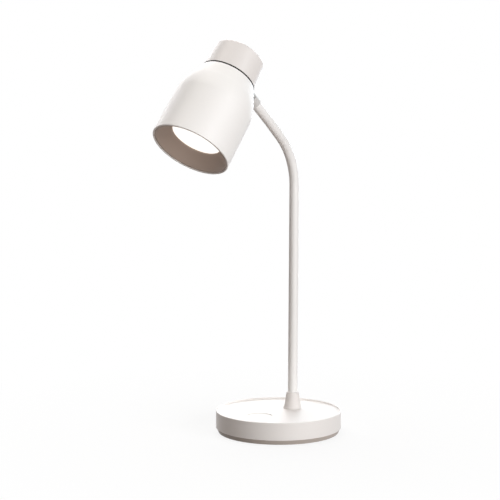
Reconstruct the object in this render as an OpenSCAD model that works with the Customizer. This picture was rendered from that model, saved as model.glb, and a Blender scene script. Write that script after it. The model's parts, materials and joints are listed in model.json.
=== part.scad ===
// Desk lamp: a round weighted base, a bent tube and a bell-shaped head that swivels and tilts on a fork.
// Millimetres. The origin is on the desk under the middle of the base, +Z is up, the arm lies in the plane
// X = 0 and the head reaches towards -Y. The head is drawn in a frame of its own: +Z runs along its axis,
// away from the mouth, +Y points at the hinge and Z = 0 is the middle of the dark seam between cap and shade.

/* [Base] */
// Diameter of the base
base_d = 125; // [112:1:150]
// Height of the base without its pad
base_h = 21.6; // [20:0.1:26]
// Height of the sloping skirt on the lower shell
skirt_h = 4.5; // [3.5:0.1:6]
// How far the skirt slopes in at the bottom
skirt_in = 2.5; // [1:0.1:4]
// Width of the raised rim round the top
rim_w = 1.4; // [0.8:0.1:3]
// Depth of the shallow tray in the top
dish_depth = 1.8; // [0.8:0.1:2.4]
// Side wall of the cover
cover_wall = 2; // [1.5:0.1:2.5]
// Thickness of the cover's top
cover_top_t = 2.2; // [1.8:0.1:2.6]
// Floor of the lower shell
tray_floor_t = 2; // [1.5:0.1:2.5]
// Distance of the anti-slip pad's edge inside the bottom's edge
pad_inset = 4; // [2:0.5:15]
// Thickness of the anti-slip pad
pad_t = 1.4; // [1.2:0.1:2]
// How far the pad stands out of the lower shell
pad_proud = 1; // [0.6:0.1:1]
// Diameter of the touch mark
touch_d = 25; // [16:1:32]
// Depth of the touch mark
touch_depth = 0.6; // [0.3:0.1:1]
// Distance of the touch mark in front of the middle
touch_y = 28; // [22:1:36]

/* [Inside the base] */
// Gap between the ballast plate and the lip round it
ballast_gap = 1.5; // [1:0.1:12]
// Thickness of the ballast plate
ballast_t = 4; // [2:0.1:4.4]
// Distance of the four base screws from the cover's wall
base_screw_in = 11.5; // [10.5:0.5:16.5]
// Radius of the screw posts under the cover
post_r = 3.5; // [3:0.1:4]
// Width of the battery
battery_w = 50; // [40:1:60]
// Length of the battery
battery_l = 38; // [30:1:40]
// Thickness of the battery
battery_t = 7; // [5:0.1:7.5]
// Thickness of the foam under the battery
foam_t = 0.8; // [0.4:0.1:1]
// Distance of the battery's middle in front of the base's middle
battery_y = 17; // [14:1:20]
// Width of the control board
board_w = 34; // [26:1:36]
// Length of the control board
board_l = 21; // [16:0.5:22]
// Thickness of the control board
board_t = 1.6; // [1:0.1:2]
// Gap between the cover's top and the control board
board_gap = 5; // [4.6:0.1:5.4]
// Diameter of the copper touch electrode
electrode_d = 18; // [10:1:24]
// Width of the charging inlet
inlet_w = 9; // [8:0.1:10]
// Height of the charging inlet
inlet_h = 3.2; // [3:0.1:3.6]
// Depth of the charging inlet
inlet_l = 7.4; // [6:0.1:9]

/* [Arm] */
// Diameter of the tube
tube_d = 9.6; // [9:0.1:10.4]
// Wall of the tube
tube_wall = 1; // [0.7:0.1:1.2]
// Distance of the tube's foot behind the middle of the base
foot_y = 21.6; // [18:0.2:24]
// Backward lean of the tube's straight part, in degrees
tube_lean = 0.4; // [0:0.1:3]
// Length of the tube's straight part above the base
straight_l = 225.2; // [180:0.1:280]
// Radius of the main bend
bend_r = 64.8; // [50:0.1:90]
// Turn of the main bend, in degrees
bend_turn = 47.6; // [35:0.1:60]
// Radius of the gentle curve above the main bend
upper_r = 755; // [400:1:1200]
// Turn of the gentle curve, in degrees
upper_turn = 3.7; // [2:0.1:6]
// Radius of the cone at the tube's foot, at its bottom
cone_foot_r = 9.4; // [9.2:0.1:12]
// Radius of the cone at its top
cone_top_r = 6.2; // [6:0.1:7]
// Height of the cone
cone_h = 16.6; // [14:0.1:24]
// Diameter of the lead in the tube
lead_d = 2.2; // [1.6:0.1:2.4]

/* [Neck and hinge] */
// Radius of the fork that turns on the end of the tube
fork_r = 5.9; // [5.7:0.1:6.1]
// Distance from the end of the tube to the hinge axis
neck_l = 11; // [10.8:0.1:14]
// Thickness of the eye between the fork's ears
eye_w = 5; // [4.6:0.1:5.2]
// Thickness of each friction washer
washer_t = 0.5; // [0.3:0.1:0.7]
// Diameter of the tilt screw
tilt_screw_d = 3; // [2.5:0.1:3.2]
// Diameter of the stud that the fork turns on
stud_d = 5.2; // [4.8:0.1:5.4]
// Running clearance of the pins, on the radius
run_gap = 0.05; // [0.02:0.01:0.1]
// Distance of the hinge axis from the head's axis
hinge_out = 33.3; // [33:0.1:36]
// Height of the hinge axis above the seam
hinge_up = 5.6; // [5.4:0.1:8]
// Tilt of the head, in degrees from mouth straight down
head_pitch = 37; // [0:1:60]

/* [Head] */
// Length of the head from the seam's middle to the mouth
shade_l = 83; // [76:0.5:96]
// Diameter of the shade at the mouth
mouth_d = 76.1; // [74:0.1:86]
// Diameter of the shade at the seam
shade_top_d = 53.8; // [53.4:0.1:56]
// Slope of the shoulder, in degrees from the axis
shoulder_slope = 24.2; // [20:0.1:30]
// Radius of the shoulder's rounding
shoulder_r = 43; // [20:1:50]
// Draft of the shade's side, in degrees
side_draft = 0.5; // [0.2:0.1:1]
// Wall of the shade
shade_wall = 1.5; // [1.2:0.1:2]
// Web that closes the top of the shade
web_t = 2; // [1.5:0.1:3]
// Thickness of the dark ring in the seam
seam_t = 1.4; // [1:0.1:1.8]
// How far the dark ring lies back from the shade's edge
seam_back = 0.1; // [0:0.1:0.5]
// Diameter of the cap at the seam
cap_d = 52; // [51.8:0.1:53]
// Length of the cap
cap_l = 27.3; // [22:0.1:34]
// Draft of the cap's side, in degrees
cap_draft = 1.2; // [0.5:0.1:2]
// Rounding of the cap's top edge
cap_round = 3; // [1.5:0.1:4]
// Wall of the cap
cap_wall = 1.8; // [1.5:0.1:2.2]

/* [Light] */
// Diameter of the lit opening in the glare baffle
light_d = 49; // [45:0.1:51]
// Depth of the lit opening behind the mouth
light_depth = 13.4; // [11:0.1:18]
// Thickness of the diffuser
diffuser_t = 2; // [1.5:0.1:3]
// Height of the white reflector
reflector_h = 19.4; // [15:0.1:21]
// Radius of the LED board
led_board_r = 30; // [29:0.5:31]
// Thickness of the LED board
led_board_t = 1.2; // [1:0.1:2]
// Thickness of the heat sink's plate
heat_plate_t = 2; // [1.5:0.1:3]
// Height of the heat sink's fins
fin_h = 9; // [5:0.5:11]
// Number of LEDs in the outer ring
outer_leds = 12; // [8:1:16]
// Number of LEDs in the inner ring
inner_leds = 6; // [4:1:8]
// Width of the dark glare baffle's lip at the mouth
baffle_wall = 1.8; // [1.4:0.1:2.4]
// How far the baffle lies back from the mouth
baffle_back = 0.8; // [0.6:0.1:2]

/* [Hidden] */
$fn = 96;
eps = 0.01;                 // how far a cutter passes a face that it opens
past = 1;                   // how far other cutters and trimming blocks reach past a piece
fit = 0.05;                 // gap round a piece that is pushed or screwed into another
edge = 0.5;                 // small rounding of moulded edges
tip_room = 1;               // depth of a screw hole past the screw's tip

// Colours
warm_white = "#f1edea";
cap_white = "#e9e5e1";
neck_grey = "#cbc8c5";
shell_grey = "#b9b0aa";
taupe = "#8b7d74";
seam_black = "#2a2422";
steel = "#b8bcc0";
board_green = "#2f6b45";

// Base heights, from the desk up
base_r = base_d / 2;
tray_z = pad_proud;
split_z = tray_z + skirt_h;
floor_z = tray_z + tray_floor_t;
ballast_top_z = floor_z + ballast_t;
rim_z = tray_z + base_h;
dish_z = rim_z - dish_depth;
ceiling_z = dish_z - cover_top_t;
cover_in_r = base_r - cover_wall;
lip_t = 1.5;                // locating lip of the lower shell
lip_h = 2.5;                // how far the lip reaches up inside the cover
lip_gap = 0.15;             // gap between lip and cover
lip_r = cover_in_r - lip_gap;
pad_r = base_r - skirt_in - pad_inset;
ballast_r = lip_r - lip_t - ballast_gap;

// Screws
base_screw_r = cover_in_r - base_screw_in;
base_screw_angles = [45, 135, 225, 315];
screw_r = 1.3;
screw_head_r = 2.6;
screw_head_t = 1.5;
screw_bite = 8;             // length of a base screw in its post
wafer_head_t = 0.8;         // thickness of a base screw's flat head
counterbore = 0.9;          // depth of the flat head's pocket above the pad
head_room = 0.3;            // gap round a screw head

// Touch mark: a shallow slice of a large ball
dish_round = min(1.2, dish_depth - edge); // rounding between the shallow top and its rim
electrode_t = 0.3;

// Battery
foam_in = 2;                // how far the foam's edge lies inside the battery's
battery_round = 3;

// Control board, hung under the cover
board_wall_gap = 5;         // gap between the board's back edge and the cover's wall
board_round = 1;
board_back_y = cover_in_r - board_wall_gap;
board_front_y = board_back_y - board_l;
board_top_z = ceiling_z - board_gap;
board_z = board_top_z - board_t;
board_post_r = 2.5;
board_post_in = 1;          // distance of the posts inside the board's sides
board_post_back = 7;        // distance of the posts behind the board's front edge
board_screw_r = 1;
board_head_r = 1.9;
board_head_t = 1.2;
board_bite = 3.5;           // length of a board screw in its post
board_screw_x = board_w / 2 - board_post_r - board_post_in;
board_screw_y = board_front_y + board_post_r + board_post_back;
chip_round = 0.3;
chip_x = 4;                 // distance of the chips to the right of the board's middle
chip_y = 3.5;               // distance of the chips in front of its middle and behind it
charge_chip_size = [5, 5, 1];
dimmer_chip_size = [4, 5, 1.5];
inductor_x = -6;
inductor_size = [6, 6, 3];
inlet_recess = 0.5;         // how far the inlet's mouth lies inside the wall
inlet_gap = 0.2;            // gap between the inlet and its window
inlet_shell_t = 0.3;
inlet_back_t = 1;
inlet_tongue = [5.5, 0.7];
tongue_in = 1;              // how far the tongue's tip lies behind the inlet's mouth
inlet_round = 1.5;

// Tube: headings are degrees above the horizontal, 90 is straight up and 0 is straight forward
tube_r = tube_d / 2;
tube_in_r = tube_r - tube_wall;
start_a = 90 + tube_lean;
knee_a = start_a - bend_turn;
tip_a = knee_a - upper_turn;
foot = [0, foot_y, dish_z];
flange_t = 2.5;
flange_r = 7.4;
tube_washer_t = 1;
tube_washer_r = 9;
tube_nut_t = 4;
tube_nut_flats = 14;
tube_thread_out = 1;        // length of tube below its nut
cone_band = 1.2;            // height of the straight band at the cone's top
cone_step = 0.3;            // how far the cone stands out under that band
cone_step_h = 0.6;
cone_flare = 1;             // how far the cone flares out at its foot
cone_flare_h = 2.5;
cone_room = 3;              // height of the hollow above the flange
tube_below = cover_top_t + tube_washer_t + tube_nut_t + tube_thread_out;
cut_reach = tube_d;         // reach of the block that cuts a bend square

// Lead from the control board up the tube
lead_r = lead_d / 2;
lead_bend_r = 4;
lead_out = 0.4;             // length of straight lead below the tube
lead_back = 0.4;            // how far the lead's end lies inside the stud
lead_below = tube_below + lead_out;
plug_size = [6, 5, 4];
plug_round = 0.4;
plug_in = 1;                // distance of the plug behind the board's front edge
plug_y = board_front_y + plug_in;
plug_bite = 2;              // length of lead inside its plug
run_start = foot - (lead_below + lead_bend_r) * heading(start_a) + lead_bend_r * outward(start_a);
lead_run = (plug_y + plug_bite - run_start[1]) / sin(start_a);
lead_run_z = run_start[2] + lead_run * cos(start_a);

// Neck and hinge
eye_back = 0.3;             // how far the eye lies inside the fork's outline
eye_room = 0.4;             // gap between the eye and the floor of the fork's slot
eye_r = fork_r - eye_back;
ear_gap = eye_w / 2 + washer_t;     // half the gap between the fork's ears
collar_l = neck_l - eye_r - eye_room;       // solid part of the fork, below its slot
stud_r = stud_d / 2;
stud_back = 0.2;            // how far the stud's end lies below the slot's floor
stud_l = collar_l - stud_back;
stud_bore_r = 1.5;
stud_plug_l = 14;           // length of the stud's plug, which tapers as the tube curves away from it
stud_plug_taper = pow(stud_plug_l, 2) / (2 * upper_r);
groove_depth = 0.5;
groove_w = 2.2;
set_screw_r = 1;
set_screw_back = 0.3;       // how far the set screw's end lies below the collar's skin
set_socket_r = 0.5;
set_socket_depth = 0.7;
set_screw_z = collar_l / 2;
tilt_r = tilt_screw_d / 2;
tilt_head_over = 1.2;       // how far the tilt screw's head reaches past its shank
tilt_head_r = tilt_r + tilt_head_over;
tilt_head_t = 1.2;
tilt_head_back = 0.8;       // how far its head and its nut lie below the ears' faces
tilt_head_x = fork_r - tilt_head_back;
tilt_tip_back = 0.2;        // how far the screw's end lies inside the nut
tilt_socket_r = 1;
tilt_socket_depth = 0.9;
washer_back = 0.8;          // how far the washers' edge lies inside the eye's
washer_r = eye_r - washer_back;

// Head frame
seam_h = seam_t / 2;
cap_r = cap_d / 2;
boss_proud = 0.3;           // how far the flat that the bracket stands on lies outside the cap
boss_depth = 5;
boss_face_y = cap_r + boss_proud;
boss_in_y = cap_r - boss_depth;
boss_r = 6.3;
bracket_arm_back = 0.9;     // how much lower the bracket's arm is than its eye, on each side
stem_r = 3.5;
stem_flat_x = 3;            // half width across the stem's two flats
stem_bore_r = 1.6;
stem_out = 1;               // length of stem past its nut
bracket_washer_t = 0.8;
bracket_nut_t = 3;
bracket_nut_flats = 10;
cavity_r = 4.2;             // room for the lead round the tilt screw, inside the eye
cavity_w = 2.6;

// Cap and shade
inner_round_less = 1;       // how much tighter the cap's rounding is inside
cap_screw_angles = [30, 150, 270];
plate_screw_angles = [90, 210, 330];
head_post_r = 3.2;
seam_lap = 0.7;             // how far the dark ring reaches inside the cap's wall
seam_in_r = cap_r - cap_wall - seam_lap;
// Distance of both sets of screws from the head's axis
head_screw_r = seam_in_r - head_room - head_post_r;
web_hole_r = 9;
cap_bite = 9;               // length of a cap screw in its post
plate_bite = 8;             // length of a plate screw in its post
mouth_r = mouth_d / 2;
shade_top_r = shade_top_d / 2;
seam_r = shade_top_r - seam_back;
corner_z = (mouth_r - shade_l * tan(side_draft) - shade_top_r + seam_h * tan(shoulder_slope))
    / (tan(side_draft) - tan(shoulder_slope));
corner_r = mouth_r - (corner_z + shade_l) * tan(side_draft);
round_run = shoulder_r * tan((shoulder_slope - side_draft) / 2);
shoulder_c = [corner_r, corner_z] + round_run * [sin(side_draft), -cos(side_draft)]
    - shoulder_r * [cos(side_draft), sin(side_draft)];
arc_steps = 24;
cap_steps = 12;

// Light stack, from the mouth inwards
light_z = -(shade_l - light_depth);
light_r = light_d / 2;
seat_t = 1;                 // thickness of the baffle's seat for the diffuser
seat_w = 1.6;               // how far the diffuser reaches out over that seat
diffuser_front_z = light_z + seat_t;
diffuser_back_z = diffuser_front_z + diffuser_t;
diffuser_r = light_r + seat_w;
board_front_z = diffuser_back_z + reflector_h;
board_rear_z = board_front_z + led_board_t;
plate_rear_z = board_rear_z + heat_plate_t;
reflector_bite = 1.5;       // how far the reflector reaches in over the LED board
reflector_neck = 0.5;       // how far it narrows just in front of the board
reflector_neck_h = 1;
reflector_foot = 1.4;       // width of its foot on the diffuser
reflector_edge_h = 1.5;
heat_plate_out = 2;         // how far the heat sink reaches past the LED board
heat_plate_r = led_board_r + heat_plate_out;
fin_pitch = 6;
fin_t = 1.2;
fin_back = 2;               // how far the fins' ends lie inside the plate's edge
fin_room = 1;               // gap between the fins and the posts
side_fins = floor((heat_plate_r - fin_back - fin_t) / fin_pitch);
led_size = [3.5, 2.8, 0.7];
led_turn = 15;              // angle of the first LED in each ring, in degrees
led_in = 4.5;               // distance of the outer ring inside the board's edge
inner_led_r = 11;
outer_led_r = led_board_r - led_in;
head_lead_y = 4;            // where the lead runs down the head
head_lead_gap = 1;          // gap between the lead's end and the tilt screw
head_lead_bend = 6;
head_lead_hole_r = 2;

// Direction in the arm's plane at an angle above the horizontal
function heading(a) = [0, -cos(a), sin(a)];
// Direction square to a heading, on the outside of the arm's bend
function outward(a) = [0, sin(a), cos(a)];
// Points of an arc
function arc(c, r, from, to, steps) =
    [for (i = [0:steps]) let (a = from + (to - from) * i / steps) c + r * [cos(a), sin(a)]];
function reversed(list) = [for (i = [len(list) - 1:-1:0]) list[i]];
// Radius of the shade's sloping shoulder and of its side at a height, a given depth inside its skin
function shoulder_at(z, depth) =
    shade_top_r - (z + seam_h) * tan(shoulder_slope) - depth / cos(shoulder_slope);
function side_at(z, depth) = mouth_r - (z + shade_l) * tan(side_draft) - depth / cos(side_draft);
// Outline of the shade from a height near its top to one near its mouth, a given depth inside its skin
function shade_line(top_z, low_z, depth) = concat(
    [[shoulder_at(top_z, depth), top_z]],
    arc(shoulder_c, shoulder_r - depth, shoulder_slope, side_draft, arc_steps),
    [[side_at(low_z, depth), low_z]]);
function on_circle(r, a) = [r * cos(a), r * sin(a), 0];

// Puts a piece at a point of the arm, its +Z along a heading and its +Y on the outside of the bend
module aim(point, a) {
    translate(point) rotate([90 - a, 0, 0]) children();
}

// Carries a piece round a bend that starts along +Z and turns towards -Y
module past_bend(r, turn) {
    translate([0, -r, 0]) rotate([turn, 0, 0]) translate([0, r, 0]) children();
}

// Sweeps a flat shape round such a bend, cut square where it ends
module bend(r, turn) {
    difference() {
        translate([0, -r, 0]) rotate(120, [1, 1, 1])
            rotate_extrude(angle = turn + 2 * cut_reach / r) translate([r, 0]) children();
        past_bend(r, turn) translate([-cut_reach, -cut_reach, 0]) cube(2 * cut_reach);
    }
}

// Follows the tube's centre line with a flat shape, from a length below the seat to a length past the tip
module along_tube(below, above) {
    aim(foot, start_a) {
        translate([0, 0, -below]) linear_extrude(below + straight_l) children();
        translate([0, 0, straight_l]) {
            bend(bend_r, bend_turn) children();
            past_bend(bend_r, bend_turn) {
                bend(upper_r, upper_turn) children();
                if (above > 0) past_bend(upper_r, upper_turn) linear_extrude(above) children();
            }
        }
    }
}

// Places a piece at the tip of the tube, and at the hinge, with +Z along the tube
module at_tip() {
    aim(foot, start_a) translate([0, 0, straight_l])
        past_bend(bend_r, bend_turn) past_bend(upper_r, upper_turn) children();
}
module at_hinge() {
    at_tip() translate([0, 0, neck_l]) children();
}

// A cylinder along X, Y or Z between two stations
module rod_x(r, from, to) {
    translate([from, 0, 0]) rotate([0, 90, 0]) cylinder(r = r, h = to - from);
}
module rod_y(r, from, to) {
    translate([0, from, 0]) rotate([-90, 0, 0]) cylinder(r = r, h = to - from);
}
module rod_z(r, from, to) {
    translate([0, 0, from]) cylinder(r = r, h = to - from);
}

// A hexagon nut along Z between two stations
module nut_z(flats, bore, from, to) {
    difference() {
        translate([0, 0, from]) cylinder(r = flats / 2 / cos(30), h = to - from, $fn = 6);
        rod_z(bore, from - eps, to + eps);
    }
}

// Places a piece in the head's frame, which hangs on the hinge
module in_head() {
    at_hinge() rotate([tip_a - 90 - head_pitch, 0, 0]) translate([0, -hinge_out, -hinge_up]) children();
}

// Copies a piece to angles round an axis
module round_axis(r, angles) {
    for (a = angles) translate(on_circle(r, a)) children();
}

// A box centred on X and Y, with upright edges rounded
module soft_box(size, r) {
    linear_extrude(size[2]) {
        square([size[0] - 2 * r, size[1]], center = true);
        square([size[0], size[1] - 2 * r], center = true);
        for (x = [-1, 1], y = [-1, 1]) translate([x * (size[0] / 2 - r), y * (size[1] / 2 - r)]) circle(r);
    }
}

// ---- Base ----

// Upper shell with the shallow tray, the touch mark, the posts and the inlet's window
module base_cover() {
    rim_in_r = base_r - rim_w;
    color(warm_white) difference() {
        union() {
            rotate_extrude() polygon(concat(
                [[0, ceiling_z], [cover_in_r, ceiling_z], [cover_in_r, split_z], [base_r, split_z]],
                arc([base_r - edge, rim_z - edge], edge, 0, 90, 6),
                arc([rim_in_r + edge / 2, rim_z - edge / 2], edge / 2, 90, 180, 4),
                arc([rim_in_r - dish_round, dish_z + dish_round], dish_round, 0, -90, 6),
                [[0, dish_z]]));
            round_axis(base_screw_r, base_screw_angles) rod_z(post_r, floor_z, ceiling_z + eps);
            for (x = [-1, 1]) translate([x * board_screw_x, board_screw_y, 0])
                rod_z(board_post_r, board_top_z, ceiling_z + eps);
        }
        translate([0, -touch_y, 0]) rod_z(touch_d / 2, dish_z - touch_depth, dish_z + past);
        aim(foot, start_a) rod_z(tube_r + fit, -cover_top_t - past, past);
        round_axis(base_screw_r, base_screw_angles)
            rod_z(screw_r + fit, floor_z - eps, floor_z + screw_bite + tip_room);
        for (x = [-1, 1]) translate([x * board_screw_x, board_screw_y, 0])
            rod_z(board_screw_r + fit, board_top_z - eps, board_top_z + board_bite + tip_room);
        inlet_window();
    }
}

// The opening in the cover's wall that the charging inlet looks out of
module inlet_window() {
    translate([0, cover_in_r - past, board_z - inlet_h / 2]) rotate([-90, 0, 0])
        soft_box([inlet_w + 2 * inlet_gap, inlet_h + 2 * inlet_gap, cover_wall + 2 * past], inlet_round);
}

// Lower shell with the sloping skirt and the locating lip
module base_tray() {
    color(shell_grey) difference() {
        rotate_extrude() polygon([[0, tray_z], [base_r - skirt_in, tray_z], [base_r - edge, split_z],
            [lip_r, split_z], [lip_r, split_z + lip_h], [lip_r - lip_t, split_z + lip_h],
            [lip_r - lip_t, floor_z], [0, floor_z]]);
        rod_z(pad_r + fit, tray_z - eps, pad_t);
        round_axis(base_screw_r, base_screw_angles) {
            rod_z(screw_r + head_room, tray_z, floor_z + eps);
            rod_z(screw_head_r + head_room, tray_z - eps, pad_t + counterbore);
        }
        inlet_notch();
    }
}

// Notch that keeps the lip clear of the inlet, however high the lip is
module inlet_notch() {
    translate([0, lip_r - lip_t - past, board_z]) rotate([-90, 0, 0])
        soft_box([inlet_w + 2 * past, 2 * inlet_h, lip_t + 2 * past], inlet_round);
}

module antislip_pad() {
    color("#3b3735") rod_z(pad_r, 0, pad_t);
}

// Steel plate that keeps the lamp from tipping
module ballast_plate() {
    color(steel) difference() {
        rod_z(ballast_r, floor_z, ballast_top_z);
        round_axis(base_screw_r, base_screw_angles)
            rod_z(post_r + head_room, floor_z - eps, ballast_top_z + eps);
    }
}

module base_screws() {
    color(steel) round_axis(base_screw_r, base_screw_angles) {
        rod_z(screw_head_r, pad_t + counterbore - wafer_head_t, pad_t + counterbore);
        rod_z(screw_r, pad_t + counterbore - eps, floor_z + screw_bite);
    }
}

module battery_foam() {
    color("#55504c") translate([0, -battery_y, ballast_top_z])
        soft_box([battery_w - 2 * foam_in, battery_l - 2 * foam_in, foam_t], foam_in);
}

module battery_pack() {
    color("#6f8fa8") translate([0, -battery_y, ballast_top_z + foam_t])
        soft_box([battery_w, battery_l, battery_t], battery_round);
}

module control_board() {
    color(board_green) difference() {
        translate([0, (board_back_y + board_front_y) / 2, board_z])
            soft_box([board_w, board_l, board_t], board_round);
        for (x = [-1, 1]) translate([x * board_screw_x, board_screw_y, 0])
            rod_z(board_screw_r + head_room, board_z - eps, board_top_z + eps);
    }
}

// Inductor, charging chip and dimmer chip on the board's upper face
module board_components() {
    color("#33312f") translate([0, (board_back_y + board_front_y) / 2, board_top_z]) {
        translate([inductor_x, 0, 0]) soft_box(inductor_size, board_round);
        translate([chip_x, chip_y, 0]) soft_box(charge_chip_size, chip_round);
        translate([chip_x, -chip_y, 0]) soft_box(dimmer_chip_size, chip_round);
    }
}

module board_screws() {
    color(steel) for (x = [-1, 1]) translate([x * board_screw_x, board_screw_y, 0]) {
        rod_z(board_head_r, board_z - board_head_t, board_z);
        rod_z(board_screw_r, board_z - eps, board_top_z + board_bite);
    }
}

// Socket for a charging plug, on the board's underside and behind the window
module charging_inlet() {
    mouth_y = base_r - inlet_recess;
    color(steel) translate([0, mouth_y, board_z - inlet_h / 2]) rotate([90, 0, 0]) {
        difference() {
            soft_box([inlet_w, inlet_h, inlet_l], inlet_round);
            translate([0, 0, -eps]) soft_box([inlet_w - 2 * inlet_shell_t, inlet_h - 2 * inlet_shell_t,
                inlet_l - inlet_back_t], inlet_round - inlet_shell_t);
        }
        translate([0, 0, tongue_in]) linear_extrude(inlet_l - tongue_in - inlet_back_t / 2)
            square(inlet_tongue, center = true);
    }
}

// Plug on the board's underside that the lamp's lead ends in
module lead_plug() {
    color("#e8e4dc") difference() {
        translate([0, plug_y + plug_size[1] / 2, board_z - plug_size[2]]) soft_box(plug_size, plug_round);
        translate([0, 0, lead_run_z]) rod_y(lead_r + fit, plug_y - eps, plug_y + plug_bite + fit);
    }
}

module touch_electrode() {
    color("#c07a4a") translate([0, -touch_y, 0]) rod_z(electrode_d / 2, ceiling_z - electrode_t, ceiling_z);
}

// ---- Arm ----

// Cone that hides the tube's fixing, hollow round the flange
module foot_cone() {
    band_z = cone_h - cone_band;
    color(cap_white) aim(foot, start_a) intersection() {
        rotate_extrude() polygon(concat(
            [[flange_r + fit, -past], [cone_foot_r, -past], [cone_foot_r, edge]],
            [[cone_foot_r - cone_flare, cone_flare_h], [cone_top_r + cone_step, band_z - cone_step_h]],
            [[cone_top_r, band_z]], arc([cone_top_r - edge, cone_h - edge], edge, 0, 90, 4),
            [[tube_r + fit, cone_h], [tube_r + fit, flange_t + cone_room]],
            [[flange_r + fit, flange_t + fit]]));
        rotate([start_a - 90, 0, 0]) rod_z(cone_foot_r + past, 0, cone_h + past);
    }
}

// Steel ring brazed to the tube, which stands on the cover
module tube_flange() {
    color(steel) intersection() {
        aim(foot, start_a) difference() {
            rod_z(flange_r, -past, flange_t);
            rod_z(tube_r, -2 * past, flange_t + past);
        }
        translate(foot) rod_z(flange_r + past, 0, flange_t + past);
    }
}

module arm_tube() {
    color(warm_white) along_tube(tube_below, 0) difference() {
        circle(tube_r);
        circle(tube_in_r);
    }
}

// Wedge washer, flat against the cover and square to the leaning tube below
module tube_washer() {
    color(steel) intersection() {
        aim(foot, start_a) difference() {
            rod_z(tube_washer_r, -cover_top_t - tube_washer_t, -cover_top_t + past);
            rod_z(tube_r + fit, -cover_top_t - tube_washer_t - past, -cover_top_t + 2 * past);
        }
        translate(foot) rod_z(tube_washer_r + past, -cover_top_t - 2 * tube_washer_t, -cover_top_t);
    }
}

module tube_nut() {
    low = -cover_top_t - tube_washer_t - tube_nut_t;
    color(steel) aim(foot, start_a) nut_z(tube_nut_flats, tube_r + fit, low, low + tube_nut_t);
}

// Two-core lead in one sheath, from the plug on the board to the end of the stud
module arm_lead() {
    color("#d9d5cf") {
        along_tube(lead_below, stud_l - lead_back) circle(lead_r);
        aim(foot, start_a) translate([0, 0, -lead_below]) rotate([180, 0, 0]) {
            bend(lead_bend_r, 90) circle(lead_r);
            translate([0, -lead_bend_r, lead_bend_r]) rod_y(lead_r, -lead_run, 0);
        }
    }
}

// Tapered plug pressed into the tube, with a grooved stud for the fork
module swivel_stud() {
    color(steel) at_tip() difference() {
        union() {
            translate([0, 0, -stud_plug_l])
                cylinder(r1 = tube_in_r - stud_plug_taper, r2 = tube_in_r, h = stud_plug_l);
            rod_z(stud_r, -eps, stud_l);
        }
        rod_z(stud_bore_r, -stud_plug_l - eps, stud_l + eps);
        difference() {
            rod_z(stud_r + past, set_screw_z - groove_w / 2, set_screw_z + groove_w / 2);
            rod_z(stud_r - groove_depth, set_screw_z - groove_w, set_screw_z + groove_w);
        }
    }
}

// ---- Neck ----

// Fork that turns on the stud and holds the head's eye
module neck_fork() {
    color(neck_grey) at_tip() difference() {
        intersection() {
            rod_z(fork_r, 0, neck_l + fork_r);
            union() {
                translate([-fork_r, -fork_r, 0]) cube([2 * fork_r, 2 * fork_r, neck_l]);
                translate([0, 0, neck_l]) rod_x(fork_r, -fork_r, fork_r);
            }
        }
        rod_z(stud_r + run_gap, -eps, collar_l + eps);
        translate([-ear_gap, -fork_r - past, collar_l])
            cube([2 * ear_gap, 2 * (fork_r + past), 2 * fork_r + neck_l]);
        translate([0, 0, neck_l]) {
            rod_x(tilt_r + fit, -fork_r, fork_r);
            rod_x(tilt_head_r + fit, -fork_r - past, -tilt_head_x + tilt_head_t);
            rod_x(tilt_head_r + fit, tilt_head_x - tilt_head_t, fork_r + past);
        }
        translate([0, 0, set_screw_z]) rod_y(set_screw_r + fit, 0, fork_r + past);
    }
}

// Screw whose tip runs in the stud's groove
module neck_set_screw() {
    end_y = fork_r - set_screw_back;
    color(steel) at_tip() translate([0, 0, set_screw_z]) difference() {
        rod_y(set_screw_r, stud_r - groove_depth + run_gap, end_y);
        rotate([-90, 0, 0]) translate([0, 0, end_y - set_socket_depth])
            cylinder(r = set_socket_r, h = set_socket_depth + past, $fn = 6);
    }
}

module tilt_screw() {
    color(steel) at_hinge() difference() {
        union() {
            rod_x(tilt_r, -tilt_head_x + tilt_head_t - eps, tilt_head_x - tilt_tip_back);
            rod_x(tilt_head_r, -tilt_head_x, -tilt_head_x + tilt_head_t);
        }
        rotate([0, 90, 0]) translate([0, 0, -tilt_head_x - past])
            cylinder(r = tilt_socket_r, h = tilt_socket_depth + past, $fn = 6);
    }
}

module tilt_nut() {
    color(steel) at_hinge() difference() {
        rod_x(tilt_head_r, tilt_head_x - tilt_head_t, tilt_head_x);
        rod_x(tilt_r + fit, 0, fork_r);
    }
}

// One washer on each side of the eye
module friction_washers() {
    color("#3a3a3a") at_hinge() for (side = [0, 180]) rotate([0, 0, side]) difference() {
        rod_x(washer_r, eye_w / 2, ear_gap);
        rod_x(tilt_r + fit, 0, fork_r);
    }
}

// ---- Head ----

// Eye of the hinge, with a hollow stem through the cap and room for the lead round the tilt screw
module head_bracket() {
    color(neck_grey) in_head() translate([0, 0, hinge_up]) difference() {
        union() {
            intersection() {
                union() {
                    translate([0, hinge_out, 0]) rod_x(eye_r, -eye_w / 2, eye_w / 2);
                    translate([-eye_w / 2, boss_face_y, bracket_arm_back - eye_r])
                        cube([eye_w, hinge_out - boss_face_y, 2 * (eye_r - bracket_arm_back)]);
                }
                translate([0, hinge_out, 0]) rod_x(2 * eye_r, -eye_w, eye_w);
            }
            intersection() {
                rod_y(stem_r, boss_in_y - bracket_washer_t - bracket_nut_t - stem_out, boss_face_y + eps);
                translate([-stem_flat_x, 0, -stem_r]) cube([2 * stem_flat_x, cap_r + past, 2 * stem_r]);
            }
        }
        rod_y(stem_bore_r, 0, hinge_out);
        translate([0, hinge_out, 0]) {
            rod_x(tilt_r + run_gap, -eye_w, eye_w);
            rod_x(cavity_r, -cavity_w / 2, cavity_w / 2);
            translate([-cavity_w / 2, 0, -2 * lead_r]) cube([cavity_w, 2 * eye_r, 4 * lead_r]);
        }
    }
}

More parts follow.
